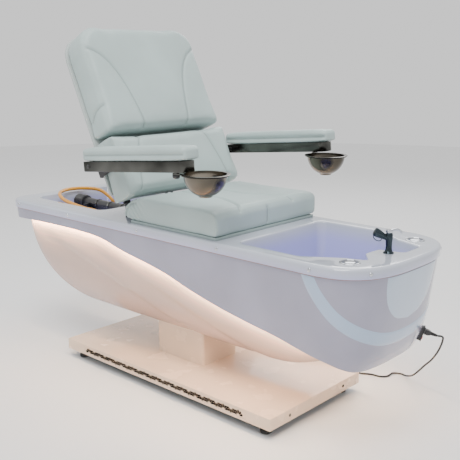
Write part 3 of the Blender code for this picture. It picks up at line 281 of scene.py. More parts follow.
LEATHER = Finish("mint_leather", "mint_leather", (0.41, 0.505, 0.495), 0.46, grain=Grain.PEBBLE,
                 scale=620.0, depth=0.00035, mottle=0.05)
THREAD = Finish("mint_thread", "mint_leather", (0.34, 0.43, 0.42), 0.6)
# Painted shade: the casing is white gelcoat with a lavender-grey cast, darkened to stand in for
# the shade on it.
GELCOAT = Finish("white_gelcoat", "white_gelcoat", (0.31, 0.305, 0.395), 0.15, coat=0.5,
                 grain=Grain.PEEL, scale=42.0, depth=0.00025, mottle=0.06)
# Painted light: the warm colour and the emission from the "glow" attribute stand in partly for the
# LED light on the pinkish-white shell.
HULL_SKIN = Finish("hull_gelcoat", "white_gelcoat", (0.52, 0.37, 0.33), 0.24, coat=0.4,
                   grain=Grain.PEEL, scale=38.0, depth=0.0003, mottle=0.04, lit=4.5)
# Painted light: the lavender-blue tint low in the basin stands in for the basin lamp's light on
# the white acrylic.
ACRYLIC = Finish("white_acrylic", "white_acrylic", (0.48, 0.51, 0.58), 0.08, coat=0.8,
                 grain=Grain.PEEL, scale=26.0, depth=0.0002, mottle=0.03,
                 low=(0.600, 0.672, (0.40, 0.41, 0.74)))
PALE_BLUE = Finish("pale_blue_gelcoat", "white_gelcoat", (0.36, 0.46, 0.62), 0.14, coat=0.8,
                   grain=Grain.PEEL, scale=42.0, depth=0.0002)
PANEL_BLUE = Finish("panel_gelcoat", "white_gelcoat", (0.44, 0.53, 0.66), 0.12, coat=0.9,
                    grain=Grain.PEEL, scale=42.0, depth=0.0002)
# Painted shade and reflection: a copper-brown line at the seam under the rim, standing in for the
# shade and reflection there.
SEAM_SHADE = Finish("copper_trim", "white_gelcoat", (0.32, 0.11, 0.05), 0.35, metallic=0.2)
LIGHT = Finish("warm_light", "led_diffuser", (1.0, 0.64, 0.34), 0.4, glow=120.0)
BASIN_GLOW = Finish("basin_light", "led_diffuser", (0.62, 0.42, 1.0), 0.4, glow=14.0)
CREAM = Finish("cream_steel", "cream_steel", (0.76, 0.57, 0.42), 0.26, coat=0.4,
               grain=Grain.PEEL, scale=160.0, depth=0.00012, mottle=0.04)
BLACK_STEEL = Finish("black_steel", "black_steel", (0.025, 0.025, 0.028), 0.42, metallic=0.5,
                     grain=Grain.PEEL, scale=220.0, depth=0.0001)
# Painted reflection: the dark base colours and strong mottle of these steels stand in for dark
# surroundings mirrored in them.
STEEL = Finish("brushed_steel", "stainless", (0.11, 0.11, 0.10), 0.20, metallic=1.0,
               grain=Grain.BRUSHED, scale=520.0, depth=0.00006, mottle=0.45)
BOWL_STEEL = Finish("spun_steel", "stainless", (0.21, 0.185, 0.15), 0.15, metallic=1.0,
                    grain=Grain.BRUSHED, scale=380.0, depth=0.00005, mottle=0.45)
CHROME = Finish("chrome", "chrome", (0.62, 0.64, 0.68), 0.05, metallic=1.0, depth=0.00002,
                mottle=0.10)
DARK_CHROME = Finish("dark_chrome", "chrome", (0.045, 0.06, 0.07), 0.10, metallic=1.0,
                     depth=0.00002, mottle=0.2)
RUBBER = Finish("black_rubber", "black_rubber", (0.018, 0.018, 0.018), 0.62, depth=0.0001)
PLASTIC = Finish("black_plastic", "black_plastic", (0.02, 0.02, 0.022), 0.35, depth=0.00008,
                 grain=Grain.PEEL, scale=260.0)
RED = Finish("red_plastic", "red_plastic", (0.75, 0.02, 0.015), 0.25, coat=0.5)
GREY = Finish("grey_plastic", "grey_plastic", (0.42, 0.43, 0.45), 0.4)
ORANGE_HOSE = Finish("orange_hose", "orange_hose", (0.80, 0.34, 0.02), 0.34, coat=0.3,
                     grain=Grain.BRAID, scale=160.0, depth=0.0003)
ORANGE = Finish("orange_coat", "orange_coat", (0.80, 0.40, 0.05), 0.35, metallic=0.3)
BOARD = Finish("covered_board", "plywood", (0.30, 0.38, 0.375), 0.5, grain=Grain.PEEL,
               scale=500.0, depth=0.0002)
VINYL = Finish("back_vinyl", "plywood", (0.42, 0.47, 0.46), 0.45, grain=Grain.PEEL, scale=500.0,
               depth=0.0002)
# Black backing seen through the vent holes; on the front panel's groove it is painted shade.
GAP_BLACK = Finish("vent_dark", "cream_steel", (0.008, 0.008, 0.008), 0.8)


# ---------------------------------------------------------------- meshes
def to_object(name: str, data: bpy.types.ID) -> bpy.types.Object:
    """Puts a mesh, lamp or camera in the scene as an object.

    Args:
        name: the object's name.
        data: what it shows.

    Returns:
        The object.
    """
    obj = bpy.data.objects.new(name, data)
    bpy.context.scene.collection.objects.link(obj)
    return obj


def evaluated(obj: bpy.types.Object) -> bpy.types.Mesh:
    """A plain copy of an object's evaluated mesh.

    Args:
        obj: the object, with its modifiers.

    Returns:
        The mesh.
    """
    bpy.context.view_layer.update()
    graph = bpy.context.evaluated_depsgraph_get()
    return bpy.data.meshes.new_from_object(obj.evaluated_get(graph))


class Skin:
    """A mesh under construction."""

    def __init__(self) -> None:
        """Starts an empty mesh."""
        self.bm = bmesh.new()

    def row(self, ring: Ring) -> list[bmesh.types.BMVert]:
        """Adds the points of one ring."""
        return [self.bm.verts.new(p) for p in ring]

    def loft(self, rings: Sequence[Ring], closed: bool = True, start: bool = False,
             end: bool = False) -> "Skin":
        """Joins rings of equal length.

        Args:
            rings: the rings, in order.
            closed: each ring runs round to its first point.
            start: caps the first ring.
            end: caps the last ring.

        Returns:
            This skin.
        """
        rows = [self.row(ring) for ring in rings]
        count = len(rows[0])
        for lower, upper in zip(rows, rows[1:]):
            for i in range(count if closed else count - 1):
                j = (i + 1) % count
                self.bm.faces.new((lower[i], lower[j], upper[j], upper[i]))
        if start:
            self.bm.faces.new(rows[0])
        if end:
            self.bm.faces.new(rows[-1])
        return self

    def sheet(self, rings: Sequence[Ring]) -> "Skin":
        """Fills a flat outline.

        Args:
            rings: the outline, then the holes in it.

        Returns:
            This skin.
        """
        edges = []
        for ring in rings:
            row = self.row(ring)
            edges += [self.bm.edges.new((row[i - 1], row[i])) for i in range(len(row))]
        bmesh.ops.triangle_fill(self.bm, use_beauty=True, edges=edges)
        return self

    def box(self, low: Sequence[float], high: Sequence[float], bevel: float = 0.001) -> "Skin":
        """Adds a box with rounded edges.

        Args:
            low: its lowest corner.
            high: its highest corner.
            bevel: width of the rounding.

        Returns:
            This skin.
        """
        low, high = Vector(low), Vector(high)
        place = Matrix.Translation((low + high) / 2) @ Matrix.Diagonal((*(high - low), 1.0))
        made = bmesh.ops.create_cube(self.bm, size=1.0, matrix=place)
        edges = list({e for v in made["verts"] for e in v.link_edges})
        bmesh.ops.bevel(self.bm, geom=edges, offset=bevel, segments=3, profile=0.5,
                        affect="EDGES")
        return self

    def turn(self, profile: Sequence[Point2], steps: int = 48,
             place: Optional[Matrix] = None) -> "Skin":
        """Adds a profile turned about Z.

        Args:
            profile: (radius, height) points; a radius of 0 closes an end.
            steps: points in each ring.
            place: where it goes, if not at the origin.

        Returns:
            This skin.
        """
        rings = []
        for r, z in profile:
            if r > 1e-7:
                rings.append([(r * math.cos(2 * math.pi * k / steps),
                               r * math.sin(2 * math.pi * k / steps), z) for k in range(steps)])
        if place:
            rings = [[place @ Vector(p) for p in ring] for ring in rings]
        return self.loft(rings, start=profile[0][0] <= 1e-7, end=profile[-1][0] <= 1e-7)

    def tube(self, path: Sequence[Vector], radius: float | Sequence[float],
             sides: int = 16) -> "Skin":
        """Adds a round tube with flat ends.

        Args:
            path: the points along its middle.
            radius: one radius, or one for each point.
            sides: points in each ring.

        Returns:
            This skin.
        """
        path = [Vector(p) for p in path]
        radii = list(radius) if isinstance(radius, (list, tuple)) else [radius] * len(path)
        tangent = (path[1] - path[0]).normalized()
        across = tangent.orthogonal().normalized()
        rings = []
        for i, place in enumerate(path):
            ahead = path[min(i + 1, len(path) - 1)] - path[max(i - 1, 0)]
            tangent = ahead.normalized()
            across = (across - tangent * across.dot(tangent)).normalized()
            other = tangent.cross(across)
            rings.append([place + (across * math.cos(2 * math.pi * k / sides)
                                   + other * math.sin(2 * math.pi * k / sides)) * radii[i]
                          for k in range(sides)])
        return self.loft(rings, start=True, end=True)

    def move(self, place: Matrix) -> "Skin":
        """Moves everything made so far."""
        bmesh.ops.transform(self.bm, matrix=place, verts=self.bm.verts)
        return self

    def done(self, name: str, angle: float = 38.0, upward: bool = False) -> bpy.types.Object:
        """The finished object, shaded smooth except across sharp edges.

        Args:
            name: the object's name.
            angle: edges sharper than this stay sharp, in degrees.
            upward: an open sheet, whose flat faces look up.

        Returns:
            The object.
        """
        bmesh.ops.remove_doubles(self.bm, verts=self.bm.verts, dist=2e-6)
        bmesh.ops.dissolve_degenerate(self.bm, dist=1e-6, edges=self.bm.edges)
        bmesh.ops.recalc_face_normals(self.bm, faces=self.bm.faces)
        if upward and sum(f.normal.z * f.calc_area() for f in self.bm.faces
                          if abs(f.normal.z) > 0.99) < 0:
            bmesh.ops.reverse_faces(self.bm, faces=self.bm.faces)
        mesh = bpy.data.meshes.new(name)
        self.bm.to_mesh(mesh)
        self.bm.free()
        mesh.shade_smooth()
        mesh.set_sharp_from_angle(angle=math.radians(angle))
        return to_object(name, mesh)


def settle(obj: bpy.types.Object, body: str, finish: Finish, *nodes: str) -> bpy.types.Object:
    """Gives a finished piece its material and its body, in place of CAD nodes.

    Args:
        obj: the piece.
        body: the body that it rides.
        finish: its finish.
        nodes: the CAD nodes that it stands for.

    Returns:
        The piece.
    """
    obj.data.materials.clear()
    obj.data.materials.append(finish.material())
    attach(obj, body)
    if nodes:
        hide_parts(*nodes)
    return obj


def refine(node: str, body: str, finish: Finish, width: float = 0.0012) -> bpy.types.Object:
    """A hard piece from its CAD solid, with rounded edges.

    Args:
        node: the CAD node.
        body: the body that it rides.
        finish: its finish.
        width: width of the rounding.

    Returns:
        The piece.
    """
    bm = bmesh.new()
    bm.from_mesh(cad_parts[node].data)
    bmesh.ops.remove_doubles(bm, verts=bm.verts, dist=1e-5)
    bmesh.ops.dissolve_limit(bm, angle_limit=math.radians(1.0), verts=bm.verts, edges=bm.edges)
    mesh = bpy.data.meshes.new(node + "_fine")
    bm.to_mesh(mesh)
    bm.free()
    rough = to_object(node + "_rough", mesh)
    bevel = rough.modifiers.new("Bevel", "BEVEL")
    bevel.width = width
    bevel.segments = 2
    bevel.limit_method = "ANGLE"
    bevel.angle_limit = math.radians(35)
    fine = evaluated(rough)
    bpy.data.objects.remove(rough, do_unlink=True)
    fine.shade_smooth()
    fine.set_sharp_from_angle(angle=math.radians(40))
    return settle(to_object(node + "_detail", fine), body, finish, node)


def rounded(corners: Sequence[Point2], radii: float | Sequence[float],
            steps: int = 8) -> list[Point2]:
    """A closed outline with rounded corners.

    Args:
        corners: its sharp corners, in order.
        radii: one radius, or one for each corner.
        steps: segments in each corner.

    Returns:
        The outline.
    """
    radii = list(radii) if isinstance(radii, (list, tuple)) else [radii] * len(corners)
    outline = []
    for i, corner in enumerate(corners):
        here = Vector(corner)
        before = (Vector(corners[i - 1]) - here).normalized()
        after = (Vector(corners[(i + 1) % len(corners)]) - here).normalized()
        half = before.angle(after) / 2
        reach = radii[i] / math.tan(half)
        centre = here + (before + after).normalized() * radii[i] / math.sin(half)
        first, last = here + before * reach - centre, here + after * reach - centre
        turn = first.angle_signed(last)
        outline += [tuple(centre + Matrix.Rotation(-turn * k / steps, 2) @ first)
                    for k in range(steps + 1)]
    return outline


def rectangle(start: float, length: float, half: float, radius: float) -> list[Point2]:
    """A rounded rectangle along X, centred on Y."""
    end = start + length
    return rounded([(start, -half), (end, -half), (end, half), (start, half)], radius)


def circle(radius: float, steps: int, centre: Point2 = (0.0, 0.0)) -> list[Point2]:
    """A circle as a closed outline."""
    return [(centre[0] + radius * math.cos(2 * math.pi * k / steps),
             centre[1] + radius * math.sin(2 * math.pi * k / steps)) for k in range(steps)]


def outward(outline: Sequence[Point2]) -> list[Vector]:
    """The unit normals of a closed outline.

    Args:
        outline: the outline.

    Returns:
        The normal at each of its points.
    """
    normals = []
    for i in range(len(outline)):
        along = (Vector(outline[(i + 1) % len(outline)]) - Vector(outline[i - 1])).normalized()
        normals.append(Vector((along.y, -along.x)))
    return normals


def grown(outline: Sequence[Point2], by: float) -> list[Point2]:
    """An outline moved outward by a distance."""
    return [(x + n.x * by, y + n.y * by) for (x, y), n in zip(outline, outward(outline))]


def scaled(outline: Sequence[Point2], share: float, centre: Point2) -> list[Point2]:
    """An outline scaled about a centre."""
    return [(centre[0] + (x - centre[0]) * share, centre[1] + (y - centre[1]) * share)
            for x, y in outline]


def at(outline: Sequence[Point2], z: float) -> list[tuple[float, float, float]]:
    """An outline at a height."""
    return [(x, y, z) for x, y in outline]


def smooth_path(route: Sequence[Sequence[float]], spacing: float) -> list[Vector]:
    """Evenly spaced points on a smooth curve.

    Args:
        route: the points that the curve goes through.
        spacing: distance between the points handed back.

    Returns:
        The points.
    """
    route = [Vector(p) for p in route]
    fine = []
    for i in range(len(route) - 1):
        a, b, c, d = (route[max(i - 1, 0)], route[i], route[i + 1],
                      route[min(i + 2, len(route) - 1)])
        for k in range(24):
            t = k / 24
            fine.append(0.5 * ((2 * b) + (c - a) * t + (2 * a - 5 * b + 4 * c - d) * t * t
                               + (3 * b - a - 3 * c + d) * t ** 3))
    fine.append(route[-1])
    steps = [0.0]
    for a, b in zip(fine, fine[1:]):
        steps.append(steps[-1] + (b - a).length)
    count = max(2, round(steps[-1] / spacing))
    wanted = np.linspace(0.0, steps[-1], count + 1)
    table = np.array(fine)
    return [Vector([float(np.interp(w, steps, table[:, k])) for k in range(table.shape[1])])
            for w in wanted]


def smooth_line(table: Sequence[Point2], x: float) -> float:
    """A smooth line through (x, value) points.

    Args:
        table: the points, with x rising.
        x: where the line is read.

    Returns:
        The value there.
    """
    xs, vs = [p[0] for p in table], [p[1] for p in table]
    i = min(max(int(np.searchsorted(xs, x)) - 1, 0), len(xs) - 2)
    slope = [(vs[min(k + 1, len(vs) - 1)] - vs[max(k - 1, 0)])
             / (xs[min(k + 1, len(xs) - 1)] - xs[max(k - 1, 0)]) for k in (i, i + 1)]
    span = xs[i + 1] - xs[i]
    t = min(max((x - xs[i]) / span, 0.0), 1.0)
    return ((2 * t ** 3 - 3 * t ** 2 + 1) * vs[i] + (t ** 3 - 2 * t ** 2 + t) * span * slope[0]
            + (3 * t ** 2 - 2 * t ** 3) * vs[i + 1] + (t ** 3 - t ** 2) * span * slope[1])


# ---------------------------------------------------------------- repeats
class Scatter:
    """Copies a small shape onto points with Geometry Nodes, as one plain mesh."""

    INPUTS = (("Points", "NodeSocketGeometry"), ("Shape", "NodeSocketObject"),
              ("Size", "NodeSocketFloat"), ("Spread", "NodeSocketFloat"),
              ("Seed", "NodeSocketInt"), ("Finish", "NodeSocketMaterial"))

    def __init__(self) -> None:
        """Builds the node tree that every call shares."""
        tree = bpy.data.node_groups.new("scatter_on_points", "GeometryNodeTree")
        for name, kind in self.INPUTS:
            tree.interface.new_socket(name, in_out="INPUT", socket_type=kind)
        tree.interface.new_socket("Geometry", in_out="OUTPUT", socket_type="NodeSocketGeometry")
        nodes, links = tree.nodes, tree.links
        source = nodes.new("NodeGroupInput")
        shape = nodes.new("GeometryNodeObjectInfo")
        links.new(source.outputs["Shape"], shape.inputs["Object"])
        turn = nodes.new("GeometryNodeInputNamedAttribute")
        turn.data_type = "FLOAT_VECTOR"
        turn.inputs["Name"].default_value = "turn"
        spread = nodes.new("FunctionNodeRandomValue")
        for key, sign in ((2, "SUBTRACT"), (3, "ADD")):
            edge = nodes.new("ShaderNodeMath")
            edge.operation = sign
            links.new(source.outputs["Size"], edge.inputs[0])
            links.new(source.outputs["Spread"], edge.inputs[1])
            links.new(edge.outputs[0], spread.inputs[key])
        links.new(source.outputs["Seed"], spread.inputs["Seed"])
        copies = nodes.new("GeometryNodeInstanceOnPoints")
        links.new(source.outputs["Points"], copies.inputs["Points"])
        links.new(shape.outputs["Geometry"], copies.inputs["Instance"])
        links.new(turn.outputs["Attribute"], copies.inputs["Rotation"])
        links.new(spread.outputs[1], copies.inputs["Scale"])
        solid = nodes.new("GeometryNodeRealizeInstances")
        links.new(copies.outputs["Instances"], solid.inputs["Geometry"])
        paint = nodes.new("GeometryNodeSetMaterial")
        links.new(solid.outputs["Geometry"], paint.inputs["Geometry"])
        links.new(source.outputs["Finish"], paint.inputs["Material"])
        links.new(paint.outputs["Geometry"], nodes.new("NodeGroupOutput").inputs["Geometry"])
        self.tree = tree

    def copies(self, name: str, places: Sequence[Matrix], shape: bpy.types.Object, body: str,
               finish: Finish, spread: float = 0.0) -> bpy.types.Object:
        """One piece made of copies of a shape.

        Args:
            name: the piece's name.
            places: where each copy goes, and how it is turned.
            shape: the shape to copy, which is then removed.
            body: the body that the piece rides.
            finish: its finish.
            spread: how much the copies differ in size, as a share.

        Returns:
            The piece.
        """
        mesh = bpy.data.meshes.new(name)
        mesh.from_pydata([p.translation for p in places], [], [])
        turn = mesh.attributes.new("turn", "FLOAT_VECTOR", "POINT")
        turn.data.foreach_set("vector", [a for p in places for a in p.to_euler()])
        points = to_object(name + "_points", mesh)
        modifier = points.modifiers.new("Scatter", "NODES")
        modifier.node_group = self.tree
        values = {"Shape": shape, "Size": 1.0, "Spread": spread, "Seed": 7,
                  "Finish": finish.material()}
        for item in self.tree.interface.items_tree:
            if item.in_out == "INPUT" and item.name in values:
                modifier[item.identifier] = values[item.name]
        made = evaluated(points)
        for spent in (points, shape):
            bpy.data.objects.remove(spent, do_unlink=True)
        made.shade_smooth()
        made.set_sharp_from_angle(angle=math.radians(40))
        obj = to_object(name, made)
        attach(obj, body)
        return obj


SCATTER = Scatter()


def facing(place: Vector, normal: Vector, spin: float = 0.0) -> Matrix:
    """A frame at a place whose Z runs along a normal, turned about it by spin."""
    turn = normal.to_track_quat("Z", "Y").to_matrix().to_4x4()
    return Matrix.Translation(place) @ turn @ Matrix.Rotation(spin, 4, "Z")


# ---------------------------------------------------------------- base
@dataclass
class Base:
    """The vented tray, its feet and the column that stands in it."""

    length: float = 1.150
    width: float = 0.550
    low: float = 0.036
    top: float = 0.082
    grille_length: float = 0.929
    grille_height: float = 0.025
    fans: int = 13
    foot_x: float = 0.520
    foot_y: float = 0.230
    column_x: float = -0.0485

    def build(self) -> None:
        """Builds every piece of the base."""
        self._tray()
        for name, side in SIDES:
            self._grille(name, side)
        self._feet()
        self._columns()

    def _tray(self) -> None:
        """The sheet tray, its bottom plate and the screws in its ends."""
        refine("base_tray", "base", CREAM, 0.0016)
        refine("base_bottom_plate", "base", BLACK_STEEL, 0.0006)
        screw = Skin().turn([(0, 0.0026), (0.0035, 0.0024), (0.0056, 0.0012), (0.006, 0.0),
                             (0, 0.0)], 20).done("screw")
        x, z = self.length / 2, (self.low + self.top) / 2
        places = [facing(Vector((s * x, y, z)), Vector((s, 0, 0)))
                  for s in (-1, 1) for y in (-0.165, 0.165)]
        SCATTER.copies("base_screws", places, screw, "base", STEEL)

    def _grille(self, name: str, side: int) -> None:
        """A sheet panel with two rows of fans, each of five petal-shaped holes.

        Args:
            name: near or far.
            side: -1 for near, 1 for far.
        """
        z = (self.low + self.top) / 2
        y = side * self.width / 2
        reach, tall = self.grille_length / 2, self.grille_height / 2
        low, high = sorted((y - side * 0.0003, y - side * 0.0021))
        panel = Skin().box((-reach, low, z - tall), (reach, high, z + tall), 0.0003)
        settle(panel.done(f"vent_panel_{name}"), "base", CREAM, f"vent_grille_{name}")
        petals = Skin()
        for k in range(5):
            angle = math.radians(-68 + 34 * k)
            ring = []
            for j in range(14):
                a = 2 * math.pi * j / 14
                along = 0.0150 + 0.0084 * math.cos(a)
                across = 0.0053 * math.sin(a) * (0.80 + 0.36 * math.cos(a))
                ring.append((along * math.sin(angle) + across * math.cos(angle),
                             along * math.cos(angle) - across * math.sin(angle), 0.0))
            petals.loft([ring, [(p[0], p[1], 0.0003) for p in ring]], start=True, end=True)
        fan = petals.done("fan")
        out = Vector((0, side, 0))
        upright = Matrix.Rotation(math.pi / 2, 4, "X") if side < 0 else (
            Matrix.Rotation(math.pi, 4, "Z") @ Matrix.Rotation(math.pi / 2, 4, "X"))
        pitch = self.grille_length / self.fans
        places = []
        for i in range(self.fans):
            x = (i + 0.5) * pitch - reach
            places.append(Matrix.Translation((x, y - side * 0.0004, z - 0.0108)) @ upright)
            if i:
                places.append(Matrix.Translation((x - pitch / 2, y - side * 0.0004, z + 0.0108))
                              @ Matrix.Rotation(math.pi, 4, out) @ upright)
        SCATTER.copies(f"vent_fans_{name}", places, fan, "base", GAP_BLACK)

    def _feet(self) -> None:
        """Four levelling feet, each a rubber pad under a hexagonal nut."""
        profile = [(0, 0.0357), (0.0065, 0.0357), (0.0065, 0.020), (0.009, 0.0195),
                   (0.010, 0.0165), (0.018, 0.0150), (0.0215, 0.0115), (0.022, 0.006),
                   (0.0205, 0.0012), (0.0185, 0.0), (0, 0.0)]
        for end, sx in (("rear", -1), ("front", 1)):
            for name, sy in SIDES:
                place = Matrix.Translation((sx * self.foot_x, sy * self.foot_y, 0))
                foot = Skin().turn(profile, 40, place)
                foot.turn([(0.0065, 0.0285), (0.0125, 0.0285), (0.0125, 0.0215),
                           (0.0065, 0.0215)], 6, place)
                settle(foot.done(f"levelling_foot_{end}_{name}", 30), "base", RUBBER,
                       f"foot_{end}_{name}")

    def _columns(self) -> None:
        """Three nested tubes with rounded corners, and the actuator inside them."""
        stages = (("outer", "base", 0.267, 0.200), ("middle", "column_stage", 0.255, 0.188),
                  ("inner", "carriage", 0.243, 0.176))
        for name, body, length, width in stages:
            low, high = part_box(f"column_{name}")
            rings = []
            for inset, z in ((0, low.z), (0, high.z - 0.0015), (0.0012, high.z),
                             (0.003, high.z), (0.003, low.z)):
                outline = rectangle(self.column_x - length / 2 + inset, length - 2 * inset,
                                    width / 2 - inset, 0.012 - inset)
                rings.append(at(outline, z))
            rings.append(rings[0])
            settle(Skin().loft(rings).done(f"column_tube_{name}"), body, CREAM,
                   f"column_{name}")
        refine("lift_actuator_body", "base", BLACK_STEEL)
        refine("lift_actuator_rod", "carriage", STEEL)


# ---------------------------------------------------------------- hull
@dataclass
class Hull:
    """The boat-shaped body: casing, lower shell, deck, lights and front bands."""

    rear: float = -0.950
    front: float = 0.950
    half: float = 0.305
    nose: float = 0.250
    corner: float = 0.090
    rim: float = 0.669
    lip_bottom: float = 0.634
    lip_proud: float = 0.006
    casing_top: float = 0.6312
    casing_depth: float = 0.415
    side_share: float = 0.61
    light_end: float = 0.768
    edge_line: tuple[Point2, ...] = (
        (-1.00, 0.583), (-0.62, 0.593), (-0.36, 0.590), (-0.26, 0.577), (-0.18, 0.556),
        (0.07, 0.508), (0.20, 0.469), (0.34, 0.434), (0.48, 0.407), (0.60, 0.387),
        (0.69, 0.366), (0.79, 0.345), (0.82, 0.336), (0.85, 0.326), (0.88, 0.316),
        (0.905, 0.309), (0.93, 0.306), (0.95, 0.305))
    basin_middle: Point2 = (0.570, 0.0)
    basin_floor: float = 0.420
    basin_taper: float = 0.78
    bay_floor: float = 0.588

    def outline(self, inset: float = 0.0, steps: int = 34, straight: int = 90) -> list[Point2]:
        """Plan of the hull, from the rear's middle along -Y, round the nose and back.

        Args:
            inset: distance inside the outermost edge.
            steps: segments in a quarter of the nose.
            straight: segments along a side.

        Returns:
            The outline.
        """
        rear, front, half = self.rear + inset, self.front - inset, self.half - inset
        corner = max(self.corner - inset, 0.004)
        side = [(rear, -(half - corner) * k / 8) for k in range(8)]
        side += [(rear + corner * (1 - math.cos(a)), -(half - corner) - corner * math.sin(a))
                 for a in (math.pi / 2 * k / 12 for k in range(13))]
        run = front - self.nose - rear - corner
        side += [(rear + corner + run * k / straight, -half) for k in range(1, straight + 1)]
        for k in range(1, steps + 1):
            a = math.pi / 2 * (k / steps) ** 1.25
            side.append((front - self.nose + self.nose * math.sin(a) ** (2 / 3),
                         -half * math.cos(a) ** (2 / 3)))
        side[-1] = (front, 0.0)
        return side + [(x, -y) for x, y in reversed(side[1:-1])]

    def lean(self, depth: float, normal: Vector) -> float:
        """How far the casing leans in at a depth below its top."""
        share = self.side_share + (1 - self.side_share) * max(0.0, normal.x) ** 2
        return share * (0.13 * depth + 0.108 * (depth / self.casing_depth) ** 6)

    def edge(self, x: float) -> float:
        """Height of the casing's lower edge."""
        return smooth_line(self.edge_line, x)

    def build(self) -> None:
        """Builds every piece of the hull."""
        self._casing()
        self._lower_shell()
        self._deck()
        self._trim()
        self._lights()
        self._bands()

    def _casing(self) -> None:
        """The outer casing, which leans in below the rim and rolls in at its lower edge."""
        outline = self.outline(self.lip_proud)
        normals = outward(outline)
        rows = 26
        rings = []
        for row in range(rows + 1):
            ring = []
            for (x, y), n in zip(outline, normals):
                drop = self.casing_top - self.edge(x)
                depth = drop * (1 - (1 - row / rows) ** 1.5)
                inset = self.lean(depth, n)
                ring.append((x - n.x * inset, y - n.y * inset, self.casing_top - depth))
            rings.append(ring)
        for inward, up in ((0.0015, -0.0008), (0.0035, 0.0002), (0.0040, 0.0030),
                           (0.0040, 0.0200)):
            rings.append([(x - n.x * inward, y - n.y * inward, z + up)
                          for (x, y, z), n in zip(rings[rows], normals)])
        rings.insert(0, [(x - n.x * 0.004, y - n.y * 0.004, z)
                         for (x, y, z), n in zip(rings[0], normals)])
        settle(Skin().loft(rings).done("casing_shell", 60), "carriage", GELCOAT, "hull_casing")

    def _lower_shell(self) -> None:
        """The rounded underside, with two long diagonal folds on each side."""
        top, depth = 0.5995, 0.4145
        rings = []
        levels = 30
        for level in range(levels + 1):
            angle = math.radians(82) * level / levels
            narrow = math.cos(angle)
            form = Hull(rear=self.rear + 0.040 + 0.40 * (1 - narrow),
                        front=0.900 - 0.56 * (1 - narrow), half=0.272 * narrow,
                        nose=self.nose * (0.4 + 0.6 * narrow), corner=0.12 * narrow + 0.01)
            z = top - depth * math.sin(angle)
            ring = []
            shape = form.outline(0.0, 22, 70)
            for (x, y), n in zip(shape, outward(shape)):
                push = 0.0
                for start, drop, depth_in in ((-0.80, 0.560, 0.012), (-0.45, 0.545, 0.011)):
                    crease = drop - 0.42 * (x - start) + 0.05 * math.sin(3.0 * (x - start))
                    fade = min(1.0, max(0.0, (x - start) / 0.25)) * min(
                        1.0, max(0.0, (0.70 - x) / 0.3))
                    t = min(1.0, max(0.0, (z - crease + 0.009) / 0.018))
                    push += depth_in * fade * (1 - t * t * (3 - 2 * t)) * math.exp(
                        -max(0.0, crease - z) / 0.07)
                push *= abs(n.y)
                ring.append((x - n.x * push, y - n.y * push, z))
            rings.append(ring)
        shell = Skin().loft(rings, end=True).done("under_shell", 70)
        # Painted light: "glow" marks where the warm LED light falls on the shell, strongest just
        # under the casing's edge.
        glow = shell.data.attributes.new("glow", "FLOAT", "POINT")
        for vertex, mark in zip(shell.data.vertices, glow.data):
            x, _, z = vertex.co
            below = max(0.0, self.edge(x) - 0.004 - z)
            fade = min(1.0, max(0.0, (x - self.rear - 0.06) / 0.15)) * min(
                1.0, max(0.0, (self.light_end + 0.06 - x) / 0.20))
            mark.value = fade * (math.exp(-below / 0.020) + 0.16 * math.exp(-below / 0.085))
        settle(shell, "carriage", HULL_SKIN, "lower_hull")

    def _basin_mouth(self) -> list[Point2]:
        """The foot basin's mouth, with a nook for the faucet.

        Returns:
            Its outline.
        """
        corners = [(0.395, -0.243), (0.660, -0.243), (0.777, -0.165), (0.852, -0.140),
                   (0.797, -0.070), (0.800, 0.004), (0.885, 0.022), (0.885, 0.128),
                   (0.777, 0.165), (0.660, 0.243), (0.395, 0.243)]
        radii = [0.035, 0.050, 0.040, 0.012, 0.014, 0.014, 0.014, 0.025, 0.040, 0.050, 0.035]
        return rounded(corners, radii, 8)

    def _deck(self) -> None:
        """One moulding: rolled rim, flat deck, basin, service bay, slot and knob cups."""
        top, fillet, roll = self.rim, 0.007, 0.011
        skin = Skin()
        rings = [at(self.outline(0.012), self.lip_bottom), at(self.outline(0.001),
                                                              self.lip_bottom),
                 at(self.outline(0.0), self.lip_bottom + 0.001)]
        for k in range(7):
            a = math.pi / 2 * k / 6
            rings.append(at(self.outline(roll * (1 - math.cos(a))),
                            top - roll + roll * math.sin(a)))
        skin.loft(rings)
        mouth = self._basin_mouth()
        bay = rounded([(-0.865, -0.205), (-0.400, -0.205), (-0.400, 0.205), (-0.865, 0.205)],
                      0.035, 8)
        slot = rounded([(-0.300, -0.024), (-0.095, -0.024), (-0.095, 0.024), (-0.300, 0.024)],
                       0.008, 4)
        cups = [circle(0.028, 40, (0.825, s * 0.203)) for _, s in SIDES]
        holes = [grown(mouth, fillet), grown(bay, fillet), slot] + [grown(c, 0.003) for c in cups]
        skin.sheet([rings[-1]] + [at(hole, top) for hole in holes])
        self._well(skin, mouth, top, fillet, self.basin_floor,
                   lambda share: scaled(mouth, 1 - (1 - self.basin_taper) * share,
                                        self.basin_middle))
        self._well(skin, bay, top, fillet, self.bay_floor,
                   lambda share: rounded([(-0.865 + 0.028 * share, -0.205 + 0.028 * share),
                                          (-0.400 - 0.014 * share, -0.205 + 0.028 * share),
                                          (-0.400 - 0.014 * share, 0.205 - 0.028 * share),
                                          (-0.865 + 0.028 * share, 0.205 - 0.028 * share)],
                                         0.035, 8))
        for cup in cups:
            self._well(skin, cup, top, 0.003, top - 0.016, lambda share, cup=cup: cup, 0.003)
        skin.loft([at(slot, top), at(slot, top - 0.006)])
        deck = skin.done("deck_skin", 50, upward=True)
        settle(deck, "carriage", ACRYLIC, "deck_moulding")

